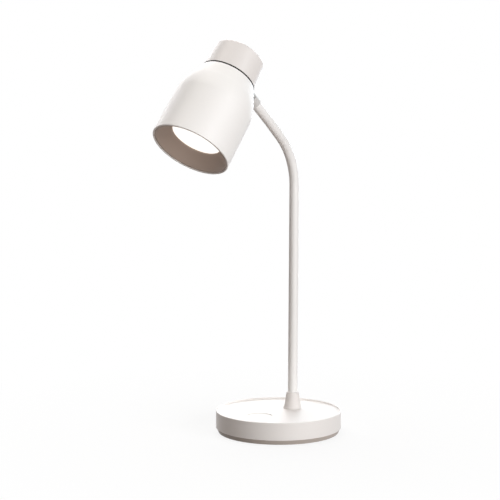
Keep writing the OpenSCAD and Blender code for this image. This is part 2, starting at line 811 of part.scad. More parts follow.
module bracket_washer() {
    color(steel) in_head() translate([0, 0, hinge_up]) difference() {
        rod_y(bracket_nut_flats / 2, boss_in_y - bracket_washer_t, boss_in_y);
        rod_y(stem_r + fit, boss_in_y - bracket_washer_t - past, boss_in_y + past);
    }
}

module bracket_nut() {
    color(steel) in_head() translate([0, boss_in_y - bracket_washer_t, hinge_up]) rotate([90, 0, 0])
        rotate([0, 0, 30]) nut_z(bracket_nut_flats, stem_r + fit, 0, bracket_nut_t);
}

// Outline of the cap, a given depth inside its skin
function cap_line(depth, round_r) =
    let (top_z = seam_h + cap_l - depth, top_r = cap_r - cap_l * tan(cap_draft) - depth)
    concat([[0, top_z]],
        reversed(arc([top_r - round_r, top_z - round_r], round_r, cap_draft, 90, cap_steps)),
        [[cap_r - depth, seam_h]]);

// Closed housing behind the seam, with three posts and a flat for the hinge
module rear_cap() {
    color(cap_white) in_head() difference() {
        union() {
            difference() {
                rotate_extrude() polygon(concat([[0, seam_h]], cap_line(0, cap_round)));
                translate([0, 0, -eps]) rotate_extrude()
                    polygon(concat([[0, seam_h]], cap_line(cap_wall, cap_round - inner_round_less)));
            }
            intersection() {
                translate([0, 0, hinge_up]) rod_y(boss_r, boss_in_y, boss_face_y);
                rod_z(cap_r + past, seam_h, seam_h + cap_l / 2);
            }
            round_axis(head_screw_r, cap_screw_angles)
                rod_z(head_post_r, -seam_h, seam_h + cap_l - cap_wall / 2);
        }
        translate([0, 0, hinge_up]) intersection() {
            rod_y(stem_r + fit, boss_in_y - past, boss_face_y + past);
            translate([-stem_flat_x - fit, 0, -2 * stem_r])
                cube([2 * (stem_flat_x + fit), cap_r + past, 4 * stem_r]);
        }
        round_axis(head_screw_r, cap_screw_angles)
            rod_z(screw_r + fit, -seam_h - eps, -seam_h + cap_bite + tip_room);
    }
}

// Dark ring that shows as a line between cap and shade
module seam_ring() {
    color(seam_black) in_head() difference() {
        rod_z(seam_r, -seam_h, seam_h);
        rod_z(seam_in_r, -seam_h - past, seam_h + past);
    }
}

// Bell with a web across its top and three posts for the heat sink
module shade() {
    low_z = -shade_l;
    inner_top_z = -seam_h - web_t;
    color(warm_white) in_head() difference() {
        union() {
            rotate_extrude() polygon(concat(
                [[web_hole_r, -seam_h], [shade_top_r - edge, -seam_h]],
                shade_line(-seam_h - edge, low_z + edge, 0),
                arc([mouth_r - edge, low_z + edge], edge, 0, -90, 5),
                arc([mouth_r - shade_wall + edge, low_z + edge], edge, -90, -180, 5),
                reversed(shade_line(inner_top_z, low_z + edge, shade_wall)),
                [[web_hole_r, inner_top_z]]));
            round_axis(head_screw_r, plate_screw_angles)
                rod_z(head_post_r, plate_rear_z, inner_top_z + eps);
        }
        round_axis(head_screw_r, cap_screw_angles) rod_z(screw_r + head_room, inner_top_z - past, past);
        round_axis(head_screw_r, plate_screw_angles)
            rod_z(screw_r + fit, plate_rear_z - eps, plate_rear_z + plate_bite + tip_room);
    }
}

module cap_screws() {
    under_z = -seam_h - web_t;
    color(steel) in_head() round_axis(head_screw_r, cap_screw_angles) {
        rod_z(screw_head_r, under_z - screw_head_t, under_z);
        rod_z(screw_r, under_z - eps, -seam_h + cap_bite);
    }
}

// Aluminium plate with straight fins behind the LEDs
module heat_sink() {
    color("#c9ccd0") in_head() difference() {
        union() {
            rod_z(heat_plate_r, board_rear_z, plate_rear_z);
            intersection() {
                rod_z(heat_plate_r - fin_back, board_rear_z, plate_rear_z + fin_h);
                for (i = [-side_fins:side_fins])
                    translate([i * fin_pitch - fin_t / 2, -heat_plate_r, board_rear_z + eps])
                        cube([fin_t, 2 * heat_plate_r, heat_plate_t + fin_h]);
            }
        }
        round_axis(head_screw_r, plate_screw_angles) {
            rod_z(screw_r + head_room, board_rear_z - eps, plate_rear_z + eps);
            rod_z(head_post_r + fin_room, plate_rear_z, plate_rear_z + fin_h + eps);
        }
        translate([0, head_lead_y, 0])
            rod_z(head_lead_hole_r, board_rear_z - eps, plate_rear_z + fin_h + eps);
    }
}

module plate_screws() {
    color(steel) in_head() round_axis(head_screw_r, plate_screw_angles) {
        rod_z(screw_head_r, board_front_z - screw_head_t, board_front_z);
        rod_z(screw_r, board_front_z - eps, plate_rear_z + plate_bite);
    }
}

module led_board() {
    color("#f4f4f2") in_head() difference() {
        rod_z(led_board_r, board_front_z, board_rear_z);
        round_axis(head_screw_r, plate_screw_angles)
            rod_z(screw_r + head_room, board_front_z - eps, board_rear_z + eps);
    }
}

// Two rings of LED packages on the board's front
module leds() {
    color("#f2d36b") in_head() translate([0, 0, board_front_z - led_size[2]]) {
        led_ring(inner_leds, inner_led_r);
        led_ring(outer_leds, outer_led_r);
    }
}
module led_ring(count, r) {
    for (i = [0:count - 1]) rotate([0, 0, i * 360 / count + led_turn]) translate([r, 0, 0])
        soft_box(led_size, chip_round);
}

// White ring that stands on the LED board and carries the diffuser
module reflector() {
    rear_r = led_board_r - reflector_bite;
    color("#fbfbf9") in_head() rotate_extrude() polygon([
        [rear_r, board_front_z], [led_board_r, board_front_z],
        [diffuser_r, diffuser_back_z + reflector_edge_h], [diffuser_r, diffuser_back_z],
        [diffuser_r - reflector_foot, diffuser_back_z],
        [rear_r - reflector_neck, board_front_z - reflector_neck_h]]);
}

module diffuser() {
    color("#ffffff") in_head() rotate_extrude() polygon(concat([[0, diffuser_front_z]],
        arc([diffuser_r - edge, diffuser_front_z + edge], edge, -90, 0, 4),
        [[diffuser_r, diffuser_back_z], [0, diffuser_back_z]]));
}

// Taupe funnel between the mouth and the lit opening, with a seat for the diffuser behind it
module glare_baffle() {
    low_z = -shade_l + baffle_back;
    band_z = low_z + baffle_wall;
    color(taupe) in_head() rotate_extrude() polygon([
        [side_at(low_z, shade_wall) - fit - baffle_wall, low_z], [side_at(low_z, shade_wall) - fit, low_z],
        [side_at(band_z, shade_wall) - fit, band_z], [diffuser_r, diffuser_front_z],
        [light_r, diffuser_front_z], [light_r, light_z]]);
}

// Lead from the hollow eye through the stem and down to the LED board
module head_lead() {
    turn_y = head_lead_y + head_lead_bend;
    start_y = hinge_out - tilt_r - lead_r - head_lead_gap;
    color("#d9d5cf") in_head() {
        translate([0, 0, hinge_up]) rod_y(lead_r, turn_y, start_y);
        translate([0, turn_y, hinge_up]) rotate([90, 0, 0]) bend(head_lead_bend, 90) circle(lead_r);
        translate([0, head_lead_y, 0]) rod_z(lead_r, board_rear_z, hinge_up - head_lead_bend);
    }
}

base_cover();
base_tray();
antislip_pad();
ballast_plate();
base_screws();
battery_foam();
battery_pack();
control_board();
board_components();
board_screws();
charging_inlet();
lead_plug();
touch_electrode();
foot_cone();
tube_flange();
arm_tube();
tube_washer();
tube_nut();
arm_lead();
swivel_stud();
neck_fork();
neck_set_screw();
tilt_screw();
tilt_nut();
friction_washers();
head_bracket();
bracket_washer();
bracket_nut();
rear_cap();
seam_ring();
shade();
cap_screws();
heat_sink();
plate_screws();
led_board();
leds();
reflector();
diffuser();
glare_baffle();
head_lead();
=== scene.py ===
"""Desk lamp with a round weighted base, a bent tube and a bell-shaped head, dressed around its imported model.

Sizes are millimetres in the classes and become metres where a mesh is made. Every piece is modelled where it
stays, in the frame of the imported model: +Z is up and the head reaches towards -Y.
"""

import json
import logging
import math
from dataclasses import dataclass
from enum import Enum
from typing import Optional, Union

import bmesh
import bpy
from mathutils import Matrix, Vector


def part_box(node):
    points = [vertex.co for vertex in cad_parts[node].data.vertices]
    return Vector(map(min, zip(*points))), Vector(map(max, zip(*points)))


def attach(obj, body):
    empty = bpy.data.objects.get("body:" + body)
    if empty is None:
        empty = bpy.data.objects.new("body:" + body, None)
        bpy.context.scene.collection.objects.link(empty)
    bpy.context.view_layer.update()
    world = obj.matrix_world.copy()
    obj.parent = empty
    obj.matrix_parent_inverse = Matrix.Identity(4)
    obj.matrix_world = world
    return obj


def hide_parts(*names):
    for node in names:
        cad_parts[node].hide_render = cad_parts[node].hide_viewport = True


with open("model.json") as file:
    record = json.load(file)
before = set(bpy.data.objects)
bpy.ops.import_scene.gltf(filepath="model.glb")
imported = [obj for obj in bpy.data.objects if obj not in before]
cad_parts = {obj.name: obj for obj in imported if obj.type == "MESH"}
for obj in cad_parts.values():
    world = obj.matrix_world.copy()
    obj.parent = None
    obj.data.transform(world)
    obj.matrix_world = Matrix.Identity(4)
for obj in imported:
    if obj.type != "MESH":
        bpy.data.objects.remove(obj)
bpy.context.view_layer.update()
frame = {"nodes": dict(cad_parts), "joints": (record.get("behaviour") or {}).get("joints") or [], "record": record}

LOG = logging.getLogger("desk_lamp")

MM = 0.001
WHITE = "#ffffff"
CREASE = 30.0          # degrees; where two faces turn more than this, the edge stays sharp
ON_AXIS = 1e-9         # metres; what lies nearer to the axis is on it
SAME_PLACE = 1e-7      # metres; vertices nearer to each other are merged
NOISE_LOW = 0.3        # most values of a noise lie between these two
NOISE_HIGH = 0.7

# Sizes that more than one sub-assembly uses.
FOOT_Y = 21.6          # the tube stands this far behind the middle of the base
TUBE_R = 4.8
TUBE_FACETS = 64
FIT = 0.05             # room round a piece that sits in another
PAST = 1.0             # how far a cutting shape reaches past the surface

# Stands a shape up that was drawn lying down: Y becomes Z, and Z becomes Y.
SWAP_YZ = Matrix(((1, 0, 0, 0), (0, 0, 1, 0), (0, 1, 0, 0), (0, 0, 0, 1)))

Profile = list["Corner"]
Ring = list[bmesh.types.BMEdge]
Point = tuple[float, float, float]
Socket = bpy.types.NodeSocket
Value = Union[float, tuple[float, ...], Socket]


# ---- Colour and shader nodes ----

def linear(hex_colour: str) -> tuple[float, float, float, float]:
    """Turns an sRGB hex colour into linear light.

    Args:
        hex_colour: Six hex digits after a hash.

    Returns:
        Red, green, blue and an alpha of 1.
    """
    channels = [int(hex_colour[i:i + 2], 16) / 255 for i in (1, 3, 5)]
    red, green, blue = (c / 12.92 if c <= 0.04045 else ((c + 0.055) / 1.055) ** 2.4 for c in channels)
    return red, green, blue, 1.0


def add_node(tree: bpy.types.NodeTree, kind: str, inputs: Optional[dict[str, Value]] = None,
             **settings: object) -> bpy.types.Node:
    """Adds a shader node with its settings, values and links.

    Args:
        tree: The node tree that takes the node.
        kind: The node's type.
        inputs: A value or another node's output for each named or numbered input.
        **settings: The node's own properties.

    Returns:
        The new node.
    """
    node = tree.nodes.new(kind)
    for name, setting in settings.items():
        setattr(node, name, setting)
    for name, value in (inputs or {}).items():
        socket = node.inputs[int(name)] if name.isdigit() else node.inputs[name]
        if isinstance(value, Socket):
            tree.links.new(value, socket)
        else:
            socket.default_value = value
    return node


def per_mm(spacing: float) -> float:
    """Gives a texture's scale for a pattern that repeats every so many millimetres."""
    return 1 / (spacing * MM)


# ---- Finishes ----

@dataclass(frozen=True)
class Finish:
    """What a surface is made of and how it was made.

    Attributes:
        name: Name of the material.
        colour: sRGB hex colour.
        roughness: Middle roughness of the surface.
        grain: Spacing of the surface's fine relief.
        relief: Height of that relief.
        ior: Index of refraction, where the surface isn't metal.
        share: Largest share of a second colour.
        smoother: How far the roughness falls below the middle.
        rougher: How far it rises above it.
    """
    name: str
    colour: str
    roughness: float
    grain: float
    relief: float
    ior: float = 1.5
    share: float = 0.0
    smoother: float = 0.03
    rougher: float = 0.03

    def material(self) -> bpy.types.Material:
        """Gives the finish's material, made once.

        Returns:
            The material, named for the finish.
        """
        made = bpy.data.materials.get(self.name)
        if made:
            return made
        made = bpy.data.materials.new(self.name)
        made.use_nodes = True
        made.node_tree.nodes.clear()
        shader = self.shade(made.node_tree)
        add_node(made.node_tree, "ShaderNodeOutputMaterial", {"Surface": shader.outputs[0]})
        return made

    def shade(self, tree: bpy.types.NodeTree) -> bpy.types.Node:
        """Builds the shader; each kind of finish has its own."""
        raise NotImplementedError

    def place(self, tree: bpy.types.NodeTree, stretch: Point = (1, 1, 1)) -> Socket:
        """Gives the pattern's coordinates on the object.

        Args:
            tree: The material's node tree.
            stretch: How much finer the pattern is along each axis.

        Returns:
            The vector output to link a texture to.
        """
        where = add_node(tree, "ShaderNodeTexCoord").outputs["Object"]
        return add_node(tree, "ShaderNodeMapping", {"Vector": where, "Scale": stretch}).outputs[0]

    def noise(self, tree: bpy.types.NodeTree, spacing: float, where: Socket, detail: float = 2) -> Socket:
        """Gives a noise of a real spacing.

        Args:
            tree: The material's node tree.
            spacing: Distance between its humps in millimetres.
            where: The coordinates.
            detail: How much finer noise is laid over it.

        Returns:
            The noise's value.
        """
        made = add_node(tree, "ShaderNodeTexNoise",
                        {"Vector": where, "Scale": per_mm(spacing), "Detail": detail})
        return made.outputs[0]

    def spread(self, tree: bpy.types.NodeTree, value: Socket, low: float, high: float) -> Socket:
        """Maps the middle part of a noise's values onto a range.

        Args:
            tree: The material's node tree.
            value: The noise.
            low: The range's start.
            high: The range's end.

        Returns:
            The value within the range.
        """
        made = add_node(tree, "ShaderNodeMapRange", {
            "Value": value, "From Min": NOISE_LOW, "From Max": NOISE_HIGH, "To Min": low, "To Max": high})
        return made.outputs[0]

    def uneven(self, tree: bpy.types.NodeTree, value: Socket) -> Socket:
        """Gives the roughness, a little lower and higher where a noise is."""
        return self.spread(tree, value, self.roughness - self.smoother, self.roughness + self.rougher)

    def tint(self, tree: bpy.types.NodeTree, value: Socket, other: str) -> Socket:
        """Blends the colour towards another one where a value is high.

        Args:
            tree: The material's node tree.
            value: What steers the blend.
            other: sRGB hex colour that is blended in.

        Returns:
            The blended colour.
        """
        share = self.spread(tree, value, 0, self.share)
        mix = add_node(tree, "ShaderNodeMix", {"0": share, "6": linear(self.colour), "7": linear(other)},
                       data_type="RGBA")
        return mix.outputs[2]

    def bump(self, tree: bpy.types.NodeTree, height: Socket) -> Socket:
        """Turns a height into a normal, as high as the finish's relief.

        Args:
            tree: The material's node tree.
            height: The pattern's height, from 0 to 1.

        Returns:
            The normal.
        """
        made = add_node(tree, "ShaderNodeBump",
                        {"Height": height, "Distance": self.relief * MM, "Strength": 1.0})
        return made.outputs[0]


@dataclass(frozen=True)
class Moulded(Finish):
    """Injection-moulded plastic from a fine spark-eroded tool.

    The eye sees an even satin with a soft highlight, a hair of grain close up and slightly drier patches.

    Attributes:
        flow: Colour of the slightly darker patches where the melt cooled.
        patches: Size of those patches.
        coat: Weight of the smooth skin on polished parts.
        coat_roughness: Roughness of that skin.
    """
    ior: float = 1.53
    share: float = 0.06
    flow: str = "#000000"
    patches: float = 45
    coat: float = 0.0
    coat_roughness: float = 0.15

    def shade(self, tree: bpy.types.NodeTree) -> bpy.types.Node:
        """Builds the shader: blended colour, uneven roughness and fine grain.

        Args:
            tree: The material's node tree.

        Returns:
            The shader node.
        """
        where = self.place(tree)
        cloud = self.noise(tree, self.patches, where)
        grain = self.noise(tree, self.grain, where, detail=4)
        return add_node(tree, "ShaderNodeBsdfPrincipled", {
            "Base Color": self.tint(tree, cloud, self.flow), "Roughness": self.uneven(tree, cloud),
            "IOR": self.ior, "Coat Weight": self.coat, "Coat Roughness": self.coat_roughness,
            "Normal": self.bump(tree, grain)})


@dataclass(frozen=True)
class PowderCoat(Finish):
    """Polyester powder baked onto steel.

    The eye sees a satin skin with a faint orange peel, a little more even in colour than moulded plastic.

    Attributes:
        thin: Colour where the coat is thinner.
        speckles: How many speckles lie across one wave of the peel.
    """
    share: float = 0.05
    rougher: float = 0.04
    thin: str = "#000000"
    speckles: float = 4

    def shade(self, tree: bpy.types.NodeTree) -> bpy.types.Node:
        """Builds the shader: orange peel over a fine speckle.

        Args:
            tree: The material's node tree.

        Returns:
            The shader node.
        """
        where = self.place(tree)
        peel = self.noise(tree, self.grain, where, detail=1)
        speckle = self.noise(tree, self.grain / self.speckles, where)
        return add_node(tree, "ShaderNodeBsdfPrincipled", {
            "Base Color": self.tint(tree, speckle, self.thin), "Roughness": self.uneven(tree, peel),
            "IOR": self.ior, "Normal": self.bump(tree, peel)})


@dataclass(frozen=True)
class Metal(Finish):
    """Bare or plated metal with the marks of how it was worked.

    The eye sees a bright metal whose highlights break up along the working direction.

    Attributes:
        worn: Colour of duller places.
        clouds: How many marks lie across one of those places.
        lay: How much finer the marks are along each axis.
    """
    share: float = 0.35
    smoother: float = 0.06
    rougher: float = 0.1
    worn: str = "#808080"
    clouds: float = 8
    lay: Point = (1, 1, 1)

    def shade(self, tree: bpy.types.NodeTree) -> bpy.types.Node:
        """Builds the shader: stretched working marks and dull clouds.

        Args:
            tree: The material's node tree.

        Returns:
            The shader node.
        """
        marks = self.noise(tree, self.grain, self.place(tree, self.lay), detail=6)
        cloud = self.noise(tree, self.grain * self.clouds, self.place(tree))
        return add_node(tree, "ShaderNodeBsdfPrincipled", {
            "Base Color": self.tint(tree, cloud, self.worn), "Metallic": 1.0,
            "Roughness": self.uneven(tree, marks), "Normal": self.bump(tree, marks)})


@dataclass(frozen=True)
class Stippled(Finish):
    """Rubber or foam with closed cells or a moulded stipple.

    The eye sees a matt surface of small rounded dots that catches hardly any light.

    Attributes:
        dust: Colour of the dust that sits between the dots.
        melted: How softly one dot runs into the next.
        gleam: Specular level; below the usual 0.5, because the dots shade each other.
    """
    share: float = 0.25
    dust: str = "#808080"
    melted: float = 0.6
    gleam: float = 0.3

    def shade(self, tree: bpy.types.NodeTree) -> bpy.types.Node:
        """Builds the shader: a stipple of cells with dust between them.

        Args:
            tree: The material's node tree.

        Returns:
            The shader node.
        """
        cells = add_node(tree, "ShaderNodeTexVoronoi", {
            "Vector": self.place(tree), "Scale": per_mm(self.grain), "Smoothness": self.melted},
            feature="SMOOTH_F1")
        dots = cells.outputs["Distance"]
        return add_node(tree, "ShaderNodeBsdfPrincipled", {
            "Base Color": self.tint(tree, dots, self.dust), "Roughness": self.roughness, "IOR": self.ior,
            "Specular IOR Level": self.gleam, "Normal": self.bump(tree, dots)})


@dataclass(frozen=True)
class CircuitFace(Finish):
    """Solder mask over copper tracks.

    The eye sees a glossy lacquer with faintly raised, lighter tracks that run square to each other.

    Attributes:
        track: Colour of the lacquer over copper.
        track_w: Width of a track, as a share of the grain like the next three.
        track_edge: Width of its soft edge.
        run: Length of a track between two joints.
        row: Distance between two rows.
    """
    ior: float = 1.55
    track: str = "#3f8a5a"
    track_w: float = 0.12
    track_edge: float = 0.2
    run: float = 2.5
    row: float = 0.6

    def shade(self, tree: bpy.types.NodeTree) -> bpy.types.Node:
        """Builds the shader: blocks of tracks a few tenths of a millimetre wide.

        Args:
            tree: The material's node tree.

        Returns:
            The shader node.
        """
        bricks = add_node(tree, "ShaderNodeTexBrick", {
            "Vector": self.place(tree), "Scale": per_mm(self.grain), "Mortar Size": self.track_w,
            "Mortar Smooth": self.track_edge, "Brick Width": self.run, "Row Height": self.row,
            "Color1": linear(self.colour), "Color2": linear(self.colour), "Mortar": linear(self.track)})
        return add_node(tree, "ShaderNodeBsdfPrincipled", {
            "Base Color": bricks.outputs["Color"], "Roughness": self.roughness, "IOR": self.ior,
            "Normal": self.bump(tree, bricks.outputs["Fac"])})


@dataclass(frozen=True)
class LitOpal(Finish):
    """Opal acrylic lit from behind.

    The eye sees an even white glow with the faintest cloud from the diffusing powder.

    Attributes:
        powder: Colour where the diffusing powder is denser.
        glow: Strength of the light that comes through.
        warm: Colour of that light.
    """
    ior: float = 1.49
    share: float = 0.3
    powder: str = "#e9e6df"
    glow: float = 1.0
    warm: str = "#fffdf8"

    def shade(self, tree: bpy.types.NodeTree) -> bpy.types.Node:
        """Builds the shader: clouded acrylic with an even glow.

        Args:
            tree: The material's node tree.

        Returns:
            The shader node.
        """
        cloud = self.noise(tree, self.grain, self.place(tree), detail=5)
        return add_node(tree, "ShaderNodeBsdfPrincipled", {
            "Base Color": self.tint(tree, cloud, self.powder), "Roughness": self.roughness, "IOR": self.ior,
            "Emission Color": linear(self.warm), "Emission Strength": self.glow,
            "Normal": self.bump(tree, cloud)})


# Moulded parts. Spark-eroded grain is about 0.05 mm; it is drawn far coarser, so that it shows close up.
# Shade: satin white with one broad, soft highlight down the bell.
WHITE_ABS = Moulded("satin_abs_white", "#f7f4f1", roughness=0.46, grain=0.9, relief=0.003, flow="#dcd6d0")
# Base cover: a smoother tool gives it a tighter sheen than the shade has.
BASE_ABS = Moulded("semi_gloss_abs_white", "#f1ece8", roughness=0.4, grain=1.2, relief=0.002, flow="#dcd6d0")
# Rear cap: a shade greyer and glossier than the bell, so the two parts read apart.
CAP_ABS = Moulded("satin_abs_pale", "#e8e2de", roughness=0.38, grain=0.9, relief=0.004, flow="#d2ccc6")
# Cone: a dull tool leaves no highlight, only an even turn from light to dark.
CONE_ABS = Moulded("matt_abs_pale_grey", "#e2dcd8", roughness=0.6, grain=0.9, relief=0.004, flow="#c8c1ba")
# Lower shell: warm grey with more grain, which steps back under the white cover.
GREY_ABS = Moulded("satin_abs_grey", "#bfb4ab", roughness=0.5, grain=0.9, relief=0.008, flow="#8d8279")
# Glare baffle: a matt taupe liner; its dark colour is painted shade for the inside of the bell, so it stays dark
# beside the lit disc.
TAUPE_PAINTED_SHADE = Moulded("matt_abs_taupe_painted_shade", "#b6a498", roughness=0.5, grain=0.8, relief=0.004, flow="#71645c")
# Reflector: bright, slightly glossy white that throws the light forwards.
WHITE_PBT = Moulded("white_pbt_reflector", "#f7f6f2", roughness=0.3, grain=0.7, relief=0.004, ior=1.55,
                    flow="#e6e3da")
# Friction washers: near-black with a dull, waxy sheen.
NYLON_BLACK = Moulded("black_nylon", "#38383a", roughness=0.55, grain=0.5, relief=0.006, flow="#222224")
# Lead plug: undyed ivory with a slight gloss.
NYLON_NATURAL = Moulded("natural_nylon", "#e6e1d6", roughness=0.4, grain=0.6, relief=0.004, flow="#cfc7b6")
# Chips: matt black resin with small dull patches.
EPOXY_BLACK = Moulded("black_epoxy_package", "#302f2f", roughness=0.5, grain=0.3, relief=0.004, ior=1.55,
                      flow="#1d1d1d", patches=3)
# Leads: a soft pale sheath with a low gloss.
PVC_SHEATH = Moulded("pvc_sheath", "#dcd8d1", roughness=0.42, grain=0.8, relief=0.006, flow="#c3bdb3")
# Battery sleeve: thin blue film that shines and ripples a little where it shrank.
SHRINK_SLEEVE = Moulded("pvc_shrink_sleeve", "#5f86a3", roughness=0.25, grain=2.5, relief=0.03,
                        flow="#3f6381", coat=0.3)
# LED faces: yellow powder in clear silicone, wet to look at and mottled.
PHOSPHOR = Moulded("silicone_phosphor", "#f1d873", roughness=0.3, grain=0.3, relief=0.004, ior=1.41,
                   flow="#d9b845", patches=2)

# Painted parts. Orange peel has a wavelength of 1 to 3 mm.
# Neck: light grey satin, a tone darker than the tube.
GREY_POWDER = PowderCoat("powder_coat_light_grey", "#cbc8c5", roughness=0.45, grain=1.6, relief=0.003,
                         thin="#b3aeaa")
# Tube: white satin so level that the peel only softens its long highlight.
WHITE_POWDER = PowderCoat("powder_coat_white", "#f1eeeb", roughness=0.42, grain=2.0, relief=0.0004,
                          thin="#d9d2cb")

# Metal parts. Working marks of some 0.02 mm are drawn coarser, so that they show close up.
# Screws, nuts and ballast: bright zinc, bluish where it is dull.
ZINC = Metal("zinc_plated_steel", "#c8c8c6", roughness=0.32, grain=0.25, relief=0.003, worn="#8f949a")
# Inlet shell: a warm, bright skin with faint drawing marks.
NICKEL = Metal("nickel_plated_steel", "#cfcbc4", roughness=0.22, grain=0.3, relief=0.002, worn="#9a948a",
               lay=(1, 4, 1))
# Heat sink: a soft grey sheen with the long lines of rolling.
ALUMINIUM = Metal("mill_finish_aluminium", "#d5d8db", roughness=0.42, grain=0.5, relief=0.006, worn="#a4a9ae",
                  lay=(6, 1, 6))
# Touch electrode: rolled foil with brown places where it has tarnished.
COPPER = Metal("bare_copper_foil", "#c98a62", roughness=0.35, grain=0.6, relief=0.003, worn="#8d5a3c",
               lay=(1, 6, 1))

# Rubber and foam.
# Pad: dark, dull grip with dust between its dots.
RUBBER = Stippled("stippled_silicone_rubber", "#45403d", roughness=0.8, grain=1.2, relief=0.05, ior=1.43,
                  dust="#6f6862")
# Seam ring: a real ring, near-black and dull; its black also paints the shade in the gap between cap and shade, so
# the seam reads as one black line.
BLACK_RING_AND_PAINTED_SHADE = Stippled("black_elastomer_and_painted_shade", "#161312", roughness=0.9, grain=0.4, relief=0.01, ior=1.4,
                     dust="#2b2724")
# Battery foam: dry grey cells without any gloss.
FOAM = Stippled("closed_cell_foam", "#5c5652", roughness=0.95, grain=0.6, relief=0.08, ior=1.4,
                dust="#3b3733")

# Boards and the lit disc.
# Control board: glossy green with its tracks as faint ridges.
GREEN_BOARD = CircuitFace("green_solder_mask", "#22573a", roughness=0.3, grain=0.9, relief=0.02,
                          track="#3c8458")
# LED board: white lacquer that almost hides its tracks.
WHITE_BOARD = CircuitFace("white_solder_mask", "#f1f1ee", roughness=0.35, grain=1.6, relief=0.02,
                          track="#dcdcd6")
# Diffuser: white all over, with no spot where an LED sits.
OPAL = LitOpal("opal_acrylic_lit", "#fbfaf7", roughness=0.45, grain=1.5, relief=0.004)

SLOT_FINISH: dict[str, Finish] = {
    "cover_plastic": BASE_ABS, "tray_plastic": GREY_ABS, "pad_rubber": RUBBER, "ballast_steel": ZINC,
    "screw_steel": ZINC, "foam": FOAM, "battery_sleeve": SHRINK_SLEEVE, "circuit_board": GREEN_BOARD,
    "chip_plastic": EPOXY_BLACK, "inlet_steel": NICKEL, "plug_plastic": NYLON_NATURAL,
    "electrode_copper": COPPER, "cone_plastic": CONE_ABS, "tube_paint": WHITE_POWDER,
    "lead_sheath": PVC_SHEATH, "neck_paint": GREY_POWDER, "washer_nylon": NYLON_BLACK,
    "cap_plastic": CAP_ABS, "seam_plastic": BLACK_RING_AND_PAINTED_SHADE, "shade_plastic": WHITE_ABS,
    "sink_aluminium": ALUMINIUM, "led_board_face": WHITE_BOARD, "led_phosphor": PHOSPHOR,
    "reflector_plastic": WHITE_PBT, "diffuser_opal": OPAL, "baffle_plastic": TAUPE_PAINTED_SHADE}


# ---- Turned and swept meshes ----

@dataclass(frozen=True)
class Corner:
    """A corner of a turned piece's outline, in millimetres.

    Attributes:
        r: Distance from the axis.
        z: Height along the axis.
        rounding: Radius of the corner's rounding.
        steps: Facets of that rounding.
    """
    r: float
    z: float
    rounding: float = 0.0
    steps: int = 4


def turned(outline: Profile, facets: int, place: Matrix = Matrix.Identity(4)) -> bmesh.types.BMesh:
    """Turns a closed outline round its axis.

    Args:
        outline: The corners in order; one on the axis closes there.
        facets: Number of facets round the axis.
        place: Where the axis lies, in metres.

    Returns:
        A closed mesh in metres with its faces outwards.
    """
    mesh = bmesh.new()
    verts = [mesh.verts.new((c.r * MM, 0, c.z * MM)) for c in outline]
    for here, after in zip(verts, verts[1:] + verts[:1]):
        mesh.edges.new((here, after))
    offsets = [corner_offset(outline, i) for i in range(len(outline))]
    for vert, corner, offset in zip(verts, outline, offsets):
        if offset:
            bmesh.ops.bevel(mesh, geom=[vert], offset=offset, offset_type="OFFSET", segments=corner.steps,
                            profile=0.5, affect="VERTICES", material=-1)
    axis_edges = [e for e in mesh.edges if all(abs(v.co.x) < ON_AXIS for v in e.verts)]
    bmesh.ops.delete(mesh, geom=axis_edges, context="EDGES_FACES")
    bmesh.ops.spin(mesh, geom=mesh.verts[:] + mesh.edges[:], cent=(0, 0, 0), axis=(0, 0, 1),
                   angle=2 * math.pi, steps=facets, use_merge=True, use_duplicate=False)
    bmesh.ops.remove_doubles(mesh, verts=mesh.verts, dist=SAME_PLACE)
    bmesh.ops.recalc_face_normals(mesh, faces=mesh.faces)
    bmesh.ops.transform(mesh, matrix=place, verts=mesh.verts)
    return mesh


def corner_offset(outline: Profile, index: int) -> float:
    """Gives how far along its edges a corner's rounding starts, in metres.

    Args:
        outline: The outline's corners.
        index: The corner's place in it.

    Returns:
        The offset, or 0 for a sharp corner.
    """
    corner, before, after = outline[index], outline[index - 1], outline[(index + 1) % len(outline)]
    if not corner.rounding:
        return 0.0
    back = Vector((before.r - corner.r, before.z - corner.z))
    ahead = Vector((after.r - corner.r, after.z - corner.z))
    turn = math.pi - back.angle(ahead)
    return corner.rounding * math.tan(turn / 2) * MM


def to_object(mesh: bmesh.types.BMesh, name: str) -> bpy.types.Object:
    """Makes an object of a mesh and frees the mesh.

    Args:
        mesh: The mesh in metres, used up.
        name: The object's name.

    Returns:
        The object, at the origin.
    """
    data = bpy.data.meshes.new(name)
    mesh.to_mesh(data)
    mesh.free()
    made = bpy.data.objects.new(name, data)
    bpy.context.scene.collection.objects.link(made)
    return made


def cut(piece: bpy.types.Object, tool: bmesh.types.BMesh) -> None:
    """Cuts a shape out of a piece.

    Args:
        piece: The piece, whose mesh is replaced.
        tool: The closed shape, used up.
    """
    cutter = to_object(tool, "tool")
    modifier = piece.modifiers.new("cut", "BOOLEAN")
    modifier.object = cutter
    modifier.operation = "DIFFERENCE"
    modifier.solver = "EXACT"
    graph = bpy.context.evaluated_depsgraph_get()
    made = bpy.data.meshes.new_from_object(piece.evaluated_get(graph))
    piece.modifiers.clear()
    piece.data = made
    bpy.data.objects.remove(cutter)


def rod(radius: float, low: float, high: float, facets: int, place: Matrix) -> bmesh.types.BMesh:
    """Makes a closed round rod along the place's Z axis.

    Args:
        radius: Its radius in millimetres.
        low: Where it starts on the axis.
        high: Where it ends.
        facets: Number of facets round it.
        place: Where the axis lies, in metres.

    Returns:
        The rod's mesh in metres.
    """
    mesh = bmesh.new()
    bmesh.ops.create_cone(mesh, cap_ends=True, segments=facets, radius1=radius * MM, radius2=radius * MM,
                          depth=(high - low) * MM)
    middle = Matrix.Translation((0, 0, (high + low) / 2 * MM))
    bmesh.ops.transform(mesh, matrix=place @ middle, verts=mesh.verts)
    return mesh


